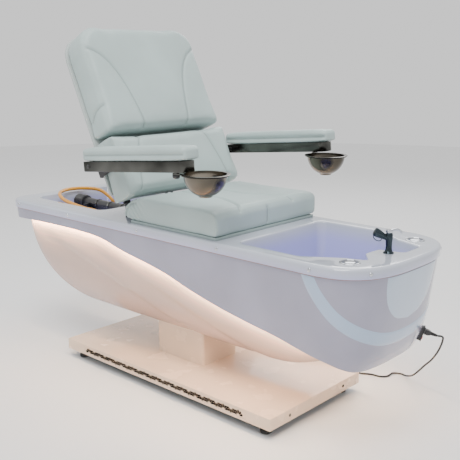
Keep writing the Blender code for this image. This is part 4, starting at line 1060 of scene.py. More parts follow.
    def _well(self, skin: Skin, mouth: Sequence[Point2], top: float, fillet: float,
              floor: float, wall: Callable[[float], list[Point2]], foot: float = 0.010) -> None:
        """A hollow in the deck: a rounded mouth, leaning walls and a rounded floor.

        Args:
            skin: the deck under construction.
            mouth: the hollow's outline.
            top: the deck's height.
            fillet: radius of the rounded mouth.
            floor: the floor's height.
            wall: the outline at a share of the depth.
            foot: radius at the foot of the walls.
        """
        rings = []
        for k in range(5):
            a = math.pi / 2 * k / 4
            rings.append(at(grown(mouth, fillet * (1 - math.sin(a))),
                            top - fillet * (1 - math.cos(a))))
        height = top - fillet - floor
        for k in range(1, 9):
            z = top - fillet - (height - foot) * k / 8
            rings.append(at(wall((top - z) / (top - floor)), z))
        for k in range(1, 5):
            a = math.pi / 2 * k / 4
            z = floor + foot * (1 - math.sin(a))
            rings.append(at(grown(wall((top - z) / (top - floor)), -foot * (1 - math.cos(a))), z))
        skin.loft(rings)
        skin.sheet([rings[-1]])

    def _trim(self) -> None:
        """A copper-brown line painted under the rim as the shade and reflection at its seam, and
        the caps on its screws.
        """
        outer = self.outline(self.lip_proud - 0.0016)
        inner = self.outline(self.lip_proud + 0.003)
        rings = [at(inner, 0.6315), at(outer, 0.6315), at(outer, 0.6337), at(inner, 0.6337),
                 at(inner, 0.6315)]
        # Painted shade and reflection: the copper-brown line along the seam.
        settle(Skin().loft(rings).done("seam_trim"), "carriage", SEAM_SHADE)
        cap = Skin().turn([(0, 0.0030), (0.0030, 0.0029), (0.0055, 0.0020), (0.0068, 0.0004),
                           (0.0068, 0.0), (0, 0.0)], 24).done("cap")
        outline = self.outline(0.0)
        normals = outward(outline)
        places = []
        for wanted in (-0.86, -0.50, -0.07, 0.36, 0.75, 0.915):
            for _, side in SIDES:
                i = min((k for k, p in enumerate(outline) if p[1] * side > 0),
                        key=lambda k: abs(outline[k][0] - wanted))
                (x, y), n = outline[i], normals[i]
                places.append(facing(Vector((x, y, 0.6505)), Vector((n.x, n.y, 0))))
        SCATTER.copies("lip_screw_caps", places, cap, "carriage", CHROME)

    def _lights(self) -> None:
        """A glowing diffuser just under each lower edge of the casing."""
        rim = [(x, -y) for x, y in self.outline(self.lip_proud)]
        rim = rim[:len(rim) // 2 + 1]
        xs, ys = [p[0] for p in rim], [p[1] for p in rim]
        for name, side in SIDES:
            path = []
            for x in np.linspace(self.rear + 0.112, self.light_end, 120):
                edge = self.edge(float(x))
                inset = self.lean(self.casing_top - edge, Vector((0.0, 1.0))) + 0.0105
                path.append((x, side * (float(np.interp(x, xs, ys)) - inset), edge + 0.0035))
            strip = Skin().tube(path, 0.0050, 12)
            settle(strip.done(f"light_diffuser_{name}"), "carriage", LIGHT,
                   f"light_strip_{name}")

    def surface(self, arc: float, z: float, proud: float) -> Vector:
        """A point just outside the nose.

        Args:
            arc: distance along the rim from the nose's tip.
            z: height.
            proud: distance outside the casing.

        Returns:
            The point.
        """
        outline = self.outline(self.lip_proud)
        middle = len(outline) // 2
        half = outline[middle:]
        normals = outward(outline)[middle:]
        steps = [0.0]
        for a, b in zip(half, half[1:]):
            steps.append(steps[-1] + math.dist(a, b))
        away = abs(arc)
        x, y, nx, ny = (float(np.interp(away, steps, [row[k] for row in (
            [(*p, n.x, n.y) for p, n in zip(half, normals)])])) for k in range(4))
        inset = self.lean(self.casing_top - z, Vector((nx, ny))) - proud
        side = 1 if arc >= 0 else -1
        return Vector((x - nx * inset, side * (y - ny * inset), z))

    def strip(self, name: str, route: Sequence[Point2], width: float, finish: Finish,
              proud: float = 0.0009) -> None:
        """An inlay on the nose.

        Args:
            name: the piece's name.
            route: (distance along the rim, height) points.
            width: its width.
            finish: its finish.
            proud: how far it stands out.
        """
        path = [p.xy for p in smooth_path([(a, z, 0.0) for a, z in route], 0.006)]
        rings = []
        for i, here in enumerate(path):
            along = (path[min(i + 1, len(path) - 1)] - path[max(i - 1, 0)]).normalized()
            across = Vector((-along.y, along.x))
            ring = []
            for k, lift in ((-1.0, 0.0), (-0.9, 1.0), (-0.45, 1.0), (0.0, 1.0), (0.45, 1.0),
                            (0.9, 1.0), (1.0, 0.0)):
                spot = here + across * k * width / 2
                ring.append(self.surface(spot.x, min(spot.y, self.casing_top - 0.0015),
                                         proud * lift - 0.0002))
            rings.append(ring)
        settle(Skin().loft(rings, closed=False).done(name, 70), "carriage", finish)

    def _bands(self) -> None:
        """The broad pale band round the nose, and the panel above it."""
        side = [(0.435, 0.66), (0.410, 0.600), (0.375, 0.550), (0.325, 0.500), (0.255, 0.458),
                (0.165, 0.425), (0.085, 0.409)]
        route = [(-a, z) for a, z in side] + [(0.0, 0.404)] + side[::-1]
        self.strip("front_band", route, 0.046, PALE_BLUE)
        rings = []
        for k in range(15):
            t = k / 14
            z = 0.628 - (0.628 - 0.462) * t
            reach = 0.150 * math.sqrt(max(0.0, 1 - t ** 2.6)) + 0.004
            rings.append([self.surface(reach * (j / 12 - 1), z, 0.0012 if 0 < j < 24 else -0.0002)
                          for j in range(25)])
        panel = Skin().loft(rings, closed=False)
        settle(panel.done("front_panel", 70), "carriage", PANEL_BLUE)
        # Painted shade: a dark line where the panel's groove would be shaded.
        self.strip("panel_groove", [(0.105, 0.375), (0.112, 0.318)], 0.0012, GAP_BLACK, 0.0004)


# ---------------------------------------------------------------- cushions
@dataclass
class Cushion:
    """A stuffed cushion: its CAD form swollen by cloth, then sewn.

    Args:
        place: the frame that it is shaped in.
        spare: how far it may swell past its CAD form on its low and high X, Y and Z sides.
        seams: rows of points just outside it, with the direction to press them in.
        cap: the most that any point moves when it swells.
        skin_gap: how far inside its CAD form it starts.
        slack: how much longer the cloth is than the form, as a share.
        smoothing: rounds of smoothing that the swell gets.
        seam_dip: depth and width of the groove at a seam.
        soft_dip: depth and width of the softer hollow round it.
        mark_width: width of the painted shade along a seam.
        gathers: depth of small folds at a point.
    """

    name: str
    node: str
    body: str
    place: Matrix
    spare: tuple[tuple[float, float, float], tuple[float, float, float]]
    seams: list[tuple[list[tuple[float, float, float]], tuple[float, float, float]]]
    voxel: float = 0.006
    cap: float = 0.010
    fill: float = 0.8
    skin_gap: float = 0.004
    cloth_frames: int = 20
    pressure: float = 4.0
    slack: float = 0.012
    smoothing: int = 60
    seam_dip: Point2 = (0.0042, 0.0065)
    soft_dip: Point2 = (0.0018, 0.020)
    mark_width: float = 0.0026
    gathers: Optional[Callable[[Vector], float]] = None

    def build(self) -> bpy.types.Object:
        """Makes the cushion: form, swell, seams and stitches.

        Returns:
            The cushion.
        """
        inverse = self.place.inverted()
        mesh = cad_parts[self.node].data.copy()
        mesh.transform(inverse)
        co = np.array([v.co for v in mesh.vertices])
        low, high = co.min(0), co.max(0)
        middle = (low + high) / 2
        shrink = 1 - 2 * self.skin_gap / (high - low)
        for vertex in mesh.vertices:
            vertex.co = Vector(middle + (np.array(vertex.co) - middle) * shrink)
        obj = to_object(self.name, mesh)
        remesh = obj.modifiers.new("Remesh", "REMESH")
        remesh.mode = "VOXEL"
        remesh.voxel_size = self.voxel
        soften = obj.modifiers.new("Smooth", "SMOOTH")
        soften.iterations = 4
        obj = self._renew(obj)
        obj = self._swell(obj)
        self._limit(obj, low, high)
        fine = obj.modifiers.new("Subdivision", "SUBSURF")
        fine.levels = fine.render_levels = 1
        obj = self._renew(obj)
        stitches = self._sew(obj)
        obj.data.transform(self.place)
        if self.place.determinant() < 0:
            obj.data.flip_normals()
        obj.data.shade_smooth()
        settle(obj, self.body, LEATHER, self.node)
        self._stitch(stitches)
        LOG.info("%s: %d faces", self.name, len(obj.data.polygons))
        return obj

    def _renew(self, obj: bpy.types.Object) -> bpy.types.Object:
        """Applies the modifiers.

        Args:
            obj: the object, which is then removed.

        Returns:
            A plain object in its place.
        """
        mesh = evaluated(obj)
        bpy.data.objects.remove(obj, do_unlink=True)
        return to_object(self.name, mesh)

    def _swell(self, obj: bpy.types.Object) -> bpy.types.Object:
        """Blows the form up as cloth, and caps how far each point moves.

        Args:
            obj: the form, which is then removed.

        Returns:
            The swollen form.
        """
        before = np.array([v.co for v in obj.data.vertices])
        cloth = obj.modifiers.new("Cloth", "CLOTH")
        cloth.settings.quality = 4
        cloth.settings.use_pressure = True
        cloth.settings.uniform_pressure_force = self.pressure
        cloth.settings.shrink_min = -self.slack
        cloth.settings.effector_weights.gravity = 0.0
        for step in range(1, self.cloth_frames + 1):
            bpy.context.scene.frame_set(step)
        mesh = evaluated(obj)
        bpy.data.objects.remove(obj, do_unlink=True)
        bpy.context.scene.frame_set(1)
        after = np.array([v.co for v in mesh.vertices])
        moved = after - before
        moved -= moved.mean(0)
        ends = np.array([e.vertices[:] for e in mesh.edges])
        degree = np.bincount(ends.ravel(), minlength=len(moved))[:, None]
        for _ in range(self.smoothing):
            near = np.zeros_like(moved)
            np.add.at(near, ends[:, 0], moved[ends[:, 1]])
            np.add.at(near, ends[:, 1], moved[ends[:, 0]])
            moved = 0.4 * moved + 0.6 * near / np.maximum(degree, 1)
        size = np.linalg.norm(moved, axis=1, keepdims=True)
        moved *= np.minimum(1.0, self.cap / np.maximum(size, 1e-9))
        mesh.vertices.foreach_set("co", (before + moved).astype(np.float32).ravel())
        return to_object(self.name, mesh)

    def _limit(self, obj: bpy.types.Object, low: np.ndarray, high: np.ndarray) -> None:
        """Keeps the cushion in its own space, flat where it rests.

        Args:
            obj: the cushion.
            low: its CAD form's lowest corner.
            high: and the highest.
        """
        co = np.array([v.co for v in obj.data.vertices])
        for axis in range(3):
            floor = low[axis] - self.spare[0][axis]
            roof = high[axis] + self.spare[1][axis]
            co[:, axis] = np.clip(co[:, axis], floor, roof)
        obj.data.vertices.foreach_set("co", co.astype(np.float32).ravel())
        obj.data.update()

    def _sew(self, obj: bpy.types.Object) -> list[Matrix]:
        """Presses the seams and gathers into the surface.

        Args:
            obj: the cushion.

        Returns:
            Where each stitch goes.
        """
        tree = BVHTree.FromObject(obj, bpy.context.evaluated_depsgraph_get())
        spots: list[Vector] = []
        stitches: list[Matrix] = []
        for route, direction in self.seams:
            way = Vector(direction)
            landed = []
            for point in smooth_path(route, 0.0015):
                hit, normal, _, _ = tree.ray_cast(point, way, 0.2)
                if hit is not None:
                    landed.append((hit, normal))
            spots += [hit for hit, _ in landed]
            for (here, normal), (ahead, _) in zip(landed[2:-4:4], landed[4:-2:4]):
                along = (ahead - here).normalized()
                across = normal.cross(along)
                turn = Matrix((along, across, normal)).transposed().to_4x4()
                stitches.append(self.place @ Matrix.Translation(here + across * 0.0050) @ turn)
        # Painted shade: "seam" darkens the leather along each seam's groove.
        marks = obj.data.attributes.new("seam", "FLOAT", "POINT")
        if not spots:
            return stitches
        near = KDTree(len(spots))
        for i, spot in enumerate(spots):
            near.insert(spot, i)
        near.balance()
        values = np.zeros(len(obj.data.vertices), np.float32)
        places = []
        for i, vertex in enumerate(obj.data.vertices):
            away = near.find(vertex.co)[2]
            dip = sum(depth * math.exp(-(away / width) ** 2)
                      for depth, width in (self.seam_dip, self.soft_dip))
            if self.gathers:
                dip += self.gathers(vertex.co)
            values[i] = math.exp(-(away / self.mark_width) ** 2)
            places.append(vertex.co - vertex.normal * dip)
        marks.data.foreach_set("value", values)
        obj.data.vertices.foreach_set("co", [c for p in places for c in p])
        obj.data.update()
        return stitches

    def _stitch(self, places: list[Matrix]) -> None:
        """Lays a short thread at each stitch.

        Args:
            places: where each goes.
        """
        if not places:
            return
        thread = Skin().tube([(-0.0020, 0, -0.0009), (-0.0014, 0, -0.0002), (0, 0, 0.0001),
                              (0.0014, 0, -0.0002), (0.0020, 0, -0.0009)], 0.00035, 6)
        SCATTER.copies(f"{self.name}_stitches", places, thread.done("stitch"), self.body, THREAD,
                       0.06)


@dataclass
class Seating:
    """The seat, the reclining back with its frame, and their cushions."""

    pivot: Vector = field(default_factory=lambda: Vector((-0.190, 0.0, 0.705)))
    lean: float = math.radians(26.0)

    def back_place(self) -> Matrix:
        """Local X out of the pads, local Y along the back's width, local Z up the back."""
        return Matrix.Translation(self.pivot) @ Matrix.Rotation(-self.lean, 4, "Y")

    def build(self) -> None:
        """Refines the steel and the boards, then makes the cushions."""
        refine("seat_frame", "carriage", BLACK_STEEL)
        refine("seat_pan", "carriage", BOARD)
        refine("back_frame", "backrest", BLACK_STEEL)
        refine("back_board", "backrest", VINYL, 0.002)
        refine("recline_lever", "backrest", BLACK_STEEL, 0.0006)
        for name, _ in SIDES:
            refine(f"pivot_bracket_{name}", "carriage", BLACK_STEEL, 0.0006)
            refine(f"arm_mount_{name}", "backrest", BLACK_STEEL, 0.0006)
        self._seat()
        self._back()
        self._lumbar()

    def _mirrored(self, route: list[tuple[float, float, float]]
                  ) -> list[list[tuple[float, float, float]]]:
        """A route and its mirror image across the middle."""
        return [route, [(x, -y, z) for x, y, z in route]]

    def _seat(self) -> None:
        """The seat cushion, with its seams and the gathers at its rear corners."""
        top = [(-0.085, -0.058, 0.86), (0.06, -0.072, 0.86), (0.14, -0.066, 0.86),
               (0.22, -0.092, 0.86), (0.27, -0.118, 0.86), (0.325, -0.150, 0.86)]
        seams = [(route, (0, 0, -1)) for route in self._mirrored(top)]
        seams.append(([(0.42, 0.0, 0.750), (0.42, 0.0, 0.695)], (-1, 0, 0)))
        welt = [(-0.148, -0.36, 0.692), (-0.140, -0.36, 0.720), (-0.118, -0.36, 0.741),
                (-0.086, -0.36, 0.751)]
        seams += [(welt, (0, 1, 0)), ([(x, -y, z) for x, y, z in welt], (0, -1, 0))]
        across = [(-0.092, -0.27, 0.86), (-0.082, -0.12, 0.86), (-0.080, 0.0, 0.86),
                  (-0.082, 0.12, 0.86), (-0.092, 0.27, 0.86)]
        seams.append((across, (0, 0, -1)))

        def gathers(p: Vector) -> float:
            """Depth of the gathers at a point of the seat."""
            near = math.exp(-((p.x + 0.10) / 0.05) ** 2) * math.exp(
                -((abs(p.y) - 0.27) / 0.05) ** 2)
            return 0.0022 * near * math.sin(p.x * 260 + p.z * 190 + abs(p.y) * 60)

        Cushion("seat_cushion_soft", "seat_cushion", "carriage", Matrix.Identity(4),
                ((-0.002, 0.004, 0.0), (0.004, 0.004, 0.004)), seams, gathers=gathers).build()

    def _back(self) -> None:
        """The tall upper cushion, with two curved seams and a welt at each side."""
        out = 0.25
        arc = [(out, -0.118, 0.290), (out, -0.134, 0.380), (out, -0.158, 0.470),
               (out, -0.192, 0.545), (out, -0.236, 0.596), (out, -0.285, 0.622)]
        seams = [(route, (-1, 0, 0)) for route in self._mirrored(arc)]
        for side in (-1, 1):
            seams.append(([(0.122, side * 0.37, 0.392), (0.080, side * 0.37, 0.378),
                           (0.034, side * 0.37, 0.352)], (0, -side, 0)))
        Cushion("back_cushion_soft", "back_cushion", "backrest", self.back_place(),
                ((0.0, 0.004, -0.0012), (0.006, 0.004, 0.004)), seams).build()

    def _lumbar(self) -> None:
        """The lower cushion, whose seams run on from those above it."""
        out = 0.25
        arc = [(out, -0.170, 0.262), (out, -0.196, 0.200), (out, -0.222, 0.120),
               (out, -0.240, 0.040)]
        seams = [(route, (-1, 0, 0)) for route in self._mirrored(arc)]
        Cushion("lumbar_cushion_soft", "lumbar_cushion", "backrest", self.back_place(),
                ((0.0, 0.004, 0.0), (0.005, 0.004, -0.0012)), seams).build()


# ---------------------------------------------------------------- armrests
@dataclass
class Armrest:
    """A swing-up armrest: polished bar, cushion, and the bowl that swings under it."""

    name: str
    side: int
    pivot: tuple[float, float] = (-0.180, 0.894)
    tilt: float = math.radians(5.2)
    middle_y: float = 0.390
    bar_rear: float = -0.030
    bar_length: float = 0.530
    bar_height: float = 0.038
    bar_width: float = 0.070
    bowl_radius: float = 0.085
    bowl_depth: float = 0.076
    rim_height: float = 0.911
    bowl_place: Point2 = (0.341, 0.342)
    axis: Point2 = (0.252, 0.390)

    def place(self) -> Matrix:
        """Local X along the arm, local Y away from the sitter, local Z up.

        Returns:
            The arm's frame.
        """
        turn = Matrix.Translation((self.pivot[0], self.side * self.middle_y, self.pivot[1]))
        turn = turn @ Matrix.Rotation(-self.tilt, 4, "Y")
        return turn @ Matrix.Diagonal((1.0, self.side, 1.0, 1.0))

    def build(self) -> None:
        """Builds the arm, its cushion and its bowl."""
        self._bar()
        seam = [([(x, -0.10, 0.040) for x in (-0.020, 0.15, 0.33, 0.505)], (0, 1, 0)),
                ([(x, 0.10, 0.040) for x in (-0.020, 0.15, 0.33, 0.505)], (0, -1, 0))]
        Cushion(f"arm_cushion_soft_{self.name}", f"arm_cushion_{self.name}",
                f"armrest_{self.name}", self.place(), ((0.003, 0.002, 0.0), (0.003, 0.002, 0.002)),
                seam, voxel=0.0045, cap=0.005, fill=0.85).build()
        self._bowl()

    def _bar(self) -> None:
        """An upturned channel with a full, rounded front end."""
        half, low, high = self.bar_width / 2, -self.bar_height / 2, self.bar_height / 2
        rings = []
        for inset, z in ((0.003, high), (0.0, high - 0.0006), (0.0, low + 0.003),
                         (0.0009, low + 0.0009), (0.003, low)):
            outline = rounded([(self.bar_rear + inset, -half + inset),
                               (self.bar_rear + self.bar_length - inset, -half + inset),
                               (self.bar_rear + self.bar_length - inset, half - inset),
                               (self.bar_rear + inset, half - inset)],
                              [0.004, 0.024, 0.024, 0.004], 10)
            rings.append(at(outline, z))
        bar = Skin().loft(rings, start=True, end=True).move(self.place())
        settle(bar.done(f"arm_channel_{self.name}"), f"armrest_{self.name}", STEEL,
               f"arm_bar_{self.name}")
        head = Skin().turn([(0, 0.0035), (0.004, 0.0034), (0.0075, 0.0022), (0.0085, 0.0),
                            (0, 0.0)], 24).done("pivot_cap")
        y = self.side * (self.middle_y + half)
        places = [facing(Vector((self.pivot[0], y, self.pivot[1])), Vector((0, self.side, 0)))]
        SCATTER.copies(f"arm_pivot_cap_{self.name}", places, head, f"armrest_{self.name}",
                       PLASTIC)

    def _bowl(self) -> None:
        """The steel bowl, the ring that holds it and the knob under the ring."""
        rim, radius = self.rim_height, self.bowl_radius
        wall = 0.074
        body = f"bowl_arm_{self.name}"
        outer = [(wall * math.cos(a), rim - 0.0015 - self.bowl_depth * math.sin(a))
                 for a in (math.pi / 2 * k / 18 for k in range(19))]
        base = outer[-1][1]
        flat = [(r, max(z, base + 0.0018)) for r, z in outer if r > 0.024]
        profile = [(0, base + 0.0033)] + [(r - 0.0015, z + 0.0014) for r, z in flat[::-1]]
        profile += [(wall - 0.0005, rim), (radius - 0.002, rim + 0.0004), (radius, rim - 0.0004),
                    (radius, rim - 0.0014), (radius - 0.002, rim - 0.0013), (wall + 0.001,
                                                                            rim - 0.0013)]
        profile += flat[1:] + [(0.022, base), (0, base)]
        centre = Matrix.Translation((self.bowl_place[0], self.side * self.bowl_place[1], 0))
        bowl = Skin().turn(profile, 72, centre)
        settle(bowl.done(f"steel_bowl_{self.name}", 45), body, BOWL_STEEL, f"bowl_{self.name}")
        holder = Skin()
        ring = [(0.0795 + 0.0026 * math.cos(t), rim - 0.0040 + 0.0019 * math.sin(t))
                for t in (2 * math.pi * k / 10 for k in range(11))]
        holder.turn(ring, 72, centre)
        knob = Vector((self.axis[0], self.side * self.axis[1]))
        toward = Vector((self.bowl_place[0], self.side * self.bowl_place[1])) - knob
        reach = toward.length - 0.078
        outline = [(0.0135 * math.cos(a), 0.0135 * math.sin(a))
                   for a in (math.pi / 2 + math.pi * k / 14 for k in range(15))]
        outline += [(reach, -0.0135), (reach, 0.0135)]
        turn = Matrix.Translation((*knob, 0)) @ Matrix.Rotation(
            math.atan2(toward.y, toward.x), 4, "Z")
        holder.loft([[turn @ Vector((x, y, z)) for x, y in outline]
                     for z in (rim - 0.0058, rim - 0.0018)], start=True, end=True)
        holder.turn([(0, rim + 0.0005), (0.0105, rim + 0.0005), (0.0105, rim - 0.003), (0, rim
                                                                                     - 0.003)],
                    28, Matrix.Translation((*knob, 0)))
        settle(holder.done(f"bowl_ring_{self.name}", 35), body, STEEL,
               f"bowl_holder_{self.name}")
        grip = [[(r * (1 + 0.045 * math.cos(12 * t)) * math.cos(t) + knob.x,
                  r * (1 + 0.045 * math.cos(12 * t)) * math.sin(t) + knob.y, z)
                 for t in (2 * math.pi * k / 96 for k in range(96))]
                for r, z in ((0.0110, rim - 0.0064), (0.0128, rim - 0.0072), (0.0128, rim - 0.012),
                             (0.0110, rim - 0.0170), (0.0080, rim - 0.0195))]
        settle(Skin().loft(grip, start=True, end=True).done(f"clamp_knob_{self.name}"),
               f"bowl_knob_{self.name}", PLASTIC, f"bowl_knob_{self.name}")


# ---------------------------------------------------------------- basin fittings
@dataclass
class BasinFittings:
    """Drain, jet, light, knobs and faucet."""

    floor: float = 0.420
    rim: float = 0.669
    drain: Point2 = (0.600, 0.0)
    knob_place: Point2 = (0.825, 0.203)
    faucet_place: Point2 = (0.852, -0.020)
    faucet_yaw: float = math.radians(42)

    def build(self) -> None:
        """Builds every fitting."""
        self._drain()
        self._jet()
        self._knobs()
        self._faucet()

    def _drain(self) -> None:
        """The drain's flange and its lift-up stopper."""
        place = Matrix.Translation((*self.drain, self.floor))
        flange = Skin().turn([(0.021, -0.028), (0.021, 0.0003), (0.034, 0.0003), (0.0335, 0.0012),
                              (0.031, 0.0035), (0.028, 0.0042), (0.0222, 0.0040),
                              (0.0170, 0.0030), (0.0165, -0.028), (0.021, -0.028)], 64, place)
        settle(flange.done("drain_ring"), "carriage", CHROME, "drain_flange")
        plug = Skin().turn([(0, 0.0095), (0.004, 0.0094), (0.012, 0.0086), (0.018, 0.0068),
                            (0.0203, 0.0050), (0.0200, 0.0044), (0.0145, 0.0044),
                            (0.0125, -0.011), (0, -0.011)], 56, place)
        settle(plug.done("drain_cap"), "drain_plug", CHROME, "drain_stopper")

    def _wall(self, along: float = 0.0) -> Matrix:
        """A frame on the basin's near wall, with Z into the basin.

        Args:
            along: distance along the wall.

        Returns:
            The frame.
        """
        x, taper, half = 0.560 + along, 0.78, 0.243
        low, high = Vector((x, -half * taper, self.floor)), Vector((x, -half, self.rim))
        up = (high - low).normalized()
        into = (Vector((0, 1, 0)) - up * up.y).normalized()
        place = low.lerp(high, 0.45) + into * 0.0012
        turn = Matrix((up.cross(into), up, into)).transposed().to_4x4()
        return Matrix.Translation(place) @ turn

    def _jet(self) -> None:
        """The jet with its slitted cover and impeller, and the lamp beside it."""
        wall = self._wall()
        cover = Skin().turn([(0.0385, 0.0005), (0.042, 0.0005), (0.042, 0.016), (0.0405, 0.0205),
                             (0.031, 0.0315), (0.028, 0.0335), (0.0125, 0.0360),
                             (0.0120, 0.0330), (0.027, 0.0300), (0.0378, 0.0175),
                             (0.0385, 0.0005)], 64, wall)
        settle(cover.done("jet_housing"), "carriage", ACRYLIC, "jet_cover")
        slit = Skin().box((-0.0016, -0.0065, -0.0002), (0.0016, 0.0065, 0.0006), 0.0002)
        places = []
        for k in range(14):
            turn = Matrix.Rotation(2 * math.pi * k / 14, 4, "Z") @ Matrix.Translation(
                (0.0, 0.0365, 0.0251)) @ Matrix.Rotation(-math.radians(48), 4, "X")
            places.append(wall @ turn)
        SCATTER.copies("jet_slits", places, slit.done("slit"), "carriage", GREY)
        wheel = Skin().turn([(0, 0.022), (0.006, 0.0212), (0.008, 0.018), (0.008, 0.0075),
                             (0, 0.0075)], 32, wall)
        for k in range(5):
            blade = []
            for j in range(6):
                turn = Matrix.Rotation(2 * math.pi * k / 5 + 0.12 * j, 4, "Z")
                r = 0.006 + 0.0036 * j
                blade.append([wall @ turn @ Vector(p) for p in (
                    (r, -0.0007, 0.009), (r, 0.0007, 0.009), (r, 0.0007, 0.0185),
                    (r, -0.0007, 0.0185))])
            wheel.loft(blade, start=True, end=True)
        settle(wheel.done("jet_wheel"), "impeller", GREY, "jet_impeller")
        lamp = self._wall(0.125)
        glass = Skin().turn([(0, 0.0062), (0.008, 0.0058), (0.014, 0.0042), (0.0165, 0.0012),
                             (0.0165, 0.0), (0, 0.0)], 40, lamp)
        settle(glass.done("basin_lamp"), "carriage", BASIN_GLOW)
        bezel = Skin().turn([(0.0166, 0.0), (0.0166, 0.0022), (0.020, 0.0026), (0.0215, 0.0008),
                             (0.0215, 0.0), (0.0166, 0.0)], 40, lamp)
        settle(bezel.done("basin_lamp_bezel"), "carriage", CHROME)

    def _knobs(self) -> None:
        """The two fluted knobs, each in its own cup with a collar."""
        for (_, side), node in zip(SIDES, ("jet_knob", "light_knob")):
            x, y = self.knob_place[0], side * self.knob_place[1]
            rings = []
            for r, z, flute in ((0.0150, 0.0018, 0.0), (0.0175, 0.0010, 0.02),
                                (0.0188, -0.0015, 0.05), (0.0196, -0.0150, 0.05)):
                rings.append([(x + r * (1 - flute * (0.5 + 0.5 * math.cos(10 * t))) * math.cos(t),
                               y + r * (1 - flute * (0.5 + 0.5 * math.cos(10 * t))) * math.sin(t),
                               self.rim + z) for t in (2 * math.pi * k / 120
                                                       for k in range(120))])
            knob = Skin().loft(rings, start=True, end=True)
            settle(knob.done(f"{node}_grip", 30), node, CHROME, node)
            mark = Skin().box((x - 0.0007, y + 0.004, self.rim + 0.0016),
                              (x + 0.0007, y + 0.0125, self.rim + 0.0022), 0.0002)
            settle(mark.done(f"{node}_mark"), node, GREY)
            collar = Skin().turn([(0.0262, 0.0002), (0.0285, 0.0018), (0.0320, 0.0016),
                                  (0.0335, 0.0003), (0.0262, 0.0002)], 64,
                                 Matrix.Translation((x, y, self.rim)))
            settle(collar.done(f"{node}_collar"), "carriage", CHROME)

    def _faucet(self) -> None:
        """The faucet, its pull-out spray head and its lever."""
        stand = Matrix.Translation((*self.faucet_place, self.rim)) @ Matrix.Rotation(
            self.faucet_yaw, 4, "Z")
        body = Skin().turn([(0, -0.025), (0.0112, -0.025), (0.0112, 0.0004), (0.0178, 0.0004),
                            (0.0176, 0.0018), (0.0162, 0.0034), (0.0138, 0.0044),
                            (0.0120, 0.0075), (0.0106, 0.014), (0.0102, 0.024),
                            (0.0106, 0.034), (0.0114, 0.042), (0.0119, 0.047),
                            (0.0119, 0.058), (0.0112, 0.064), (0.0090, 0.0672), (0, 0.0680)], 56,
                           stand)
        reach = stand @ Matrix.Translation((0, 0, 0.046)) @ Matrix.Rotation(
            -math.radians(62), 4, "Y")
        body.turn([(0, 0.004), (0.0090, 0.004), (0.0092, 0.014), (0.0100, 0.0165),
                   (0.0100, 0.0200), (0, 0.0200)], 40, reach)
        settle(body.done("faucet_stand"), "faucet_turret", DARK_CHROME, "faucet_body")
        head = Skin().turn([(0, 0.0208), (0.0096, 0.0208), (0.0112, 0.026), (0.0130, 0.034),
                            (0.0142, 0.043), (0.0145, 0.049), (0.0138, 0.0530),
                            (0.0120, 0.0542), (0, 0.0536)], 56, reach)
        settle(head.done("spray_body"), "spray", DARK_CHROME, "spray_head")
        nozzle = Skin().turn([(0, 0.0012), (0.0006, 0.0011), (0.0009, 0.0), (0, 0.0)], 10)
        spots = [(r, 2 * math.pi * k / n) for r, n in ((0.0030, 6), (0.0062, 12), (0.0094, 18))
                 for k in range(n)]
        places = [reach @ Matrix.Translation((r * math.cos(a), r * math.sin(a), 0.0538))
                  for r, a in spots]
        SCATTER.copies("spray_nozzles", places, nozzle.done("nozzle"), "spray", PLASTIC)
        loop = [reach @ Vector(p) for p in ((-0.0100, 0, 0.051), (-0.0180, 0, 0.048),
                                            (-0.0225, 0, 0.038), (-0.0215, 0, 0.028),
                                            (-0.0160, 0, 0.0215), (-0.0085, 0, 0.023))]
        settle(Skin().tube(smooth_path(loop, 0.002), 0.0014, 10).done("spray_trigger"), "spray",
               DARK_CHROME)
        top = stand @ Matrix.Translation((0, 0, 0.0685))
        lever = Skin().turn([(0, 0.0003), (0.0110, 0.0003), (0.0115, 0.0020), (0.0112, 0.0070),
                             (0.0085, 0.0098), (0, 0.0105)], 48, top)
        stick = [top @ Vector(p) for p in ((0.004, 0, 0.006), (0.013, 0, 0.0090),
                                           (0.024, 0, 0.0098), (0.034, 0, 0.0062),
                                           (0.041, 0, -0.0010))]
        path = smooth_path(stick, 0.002)
        lever.tube(path, [0.0042 - 0.0012 * k / len(path) for k in range(len(path))], 16)
        settle(lever.done("mixer_lever"), "faucet_handle", CHROME, "faucet_lever")


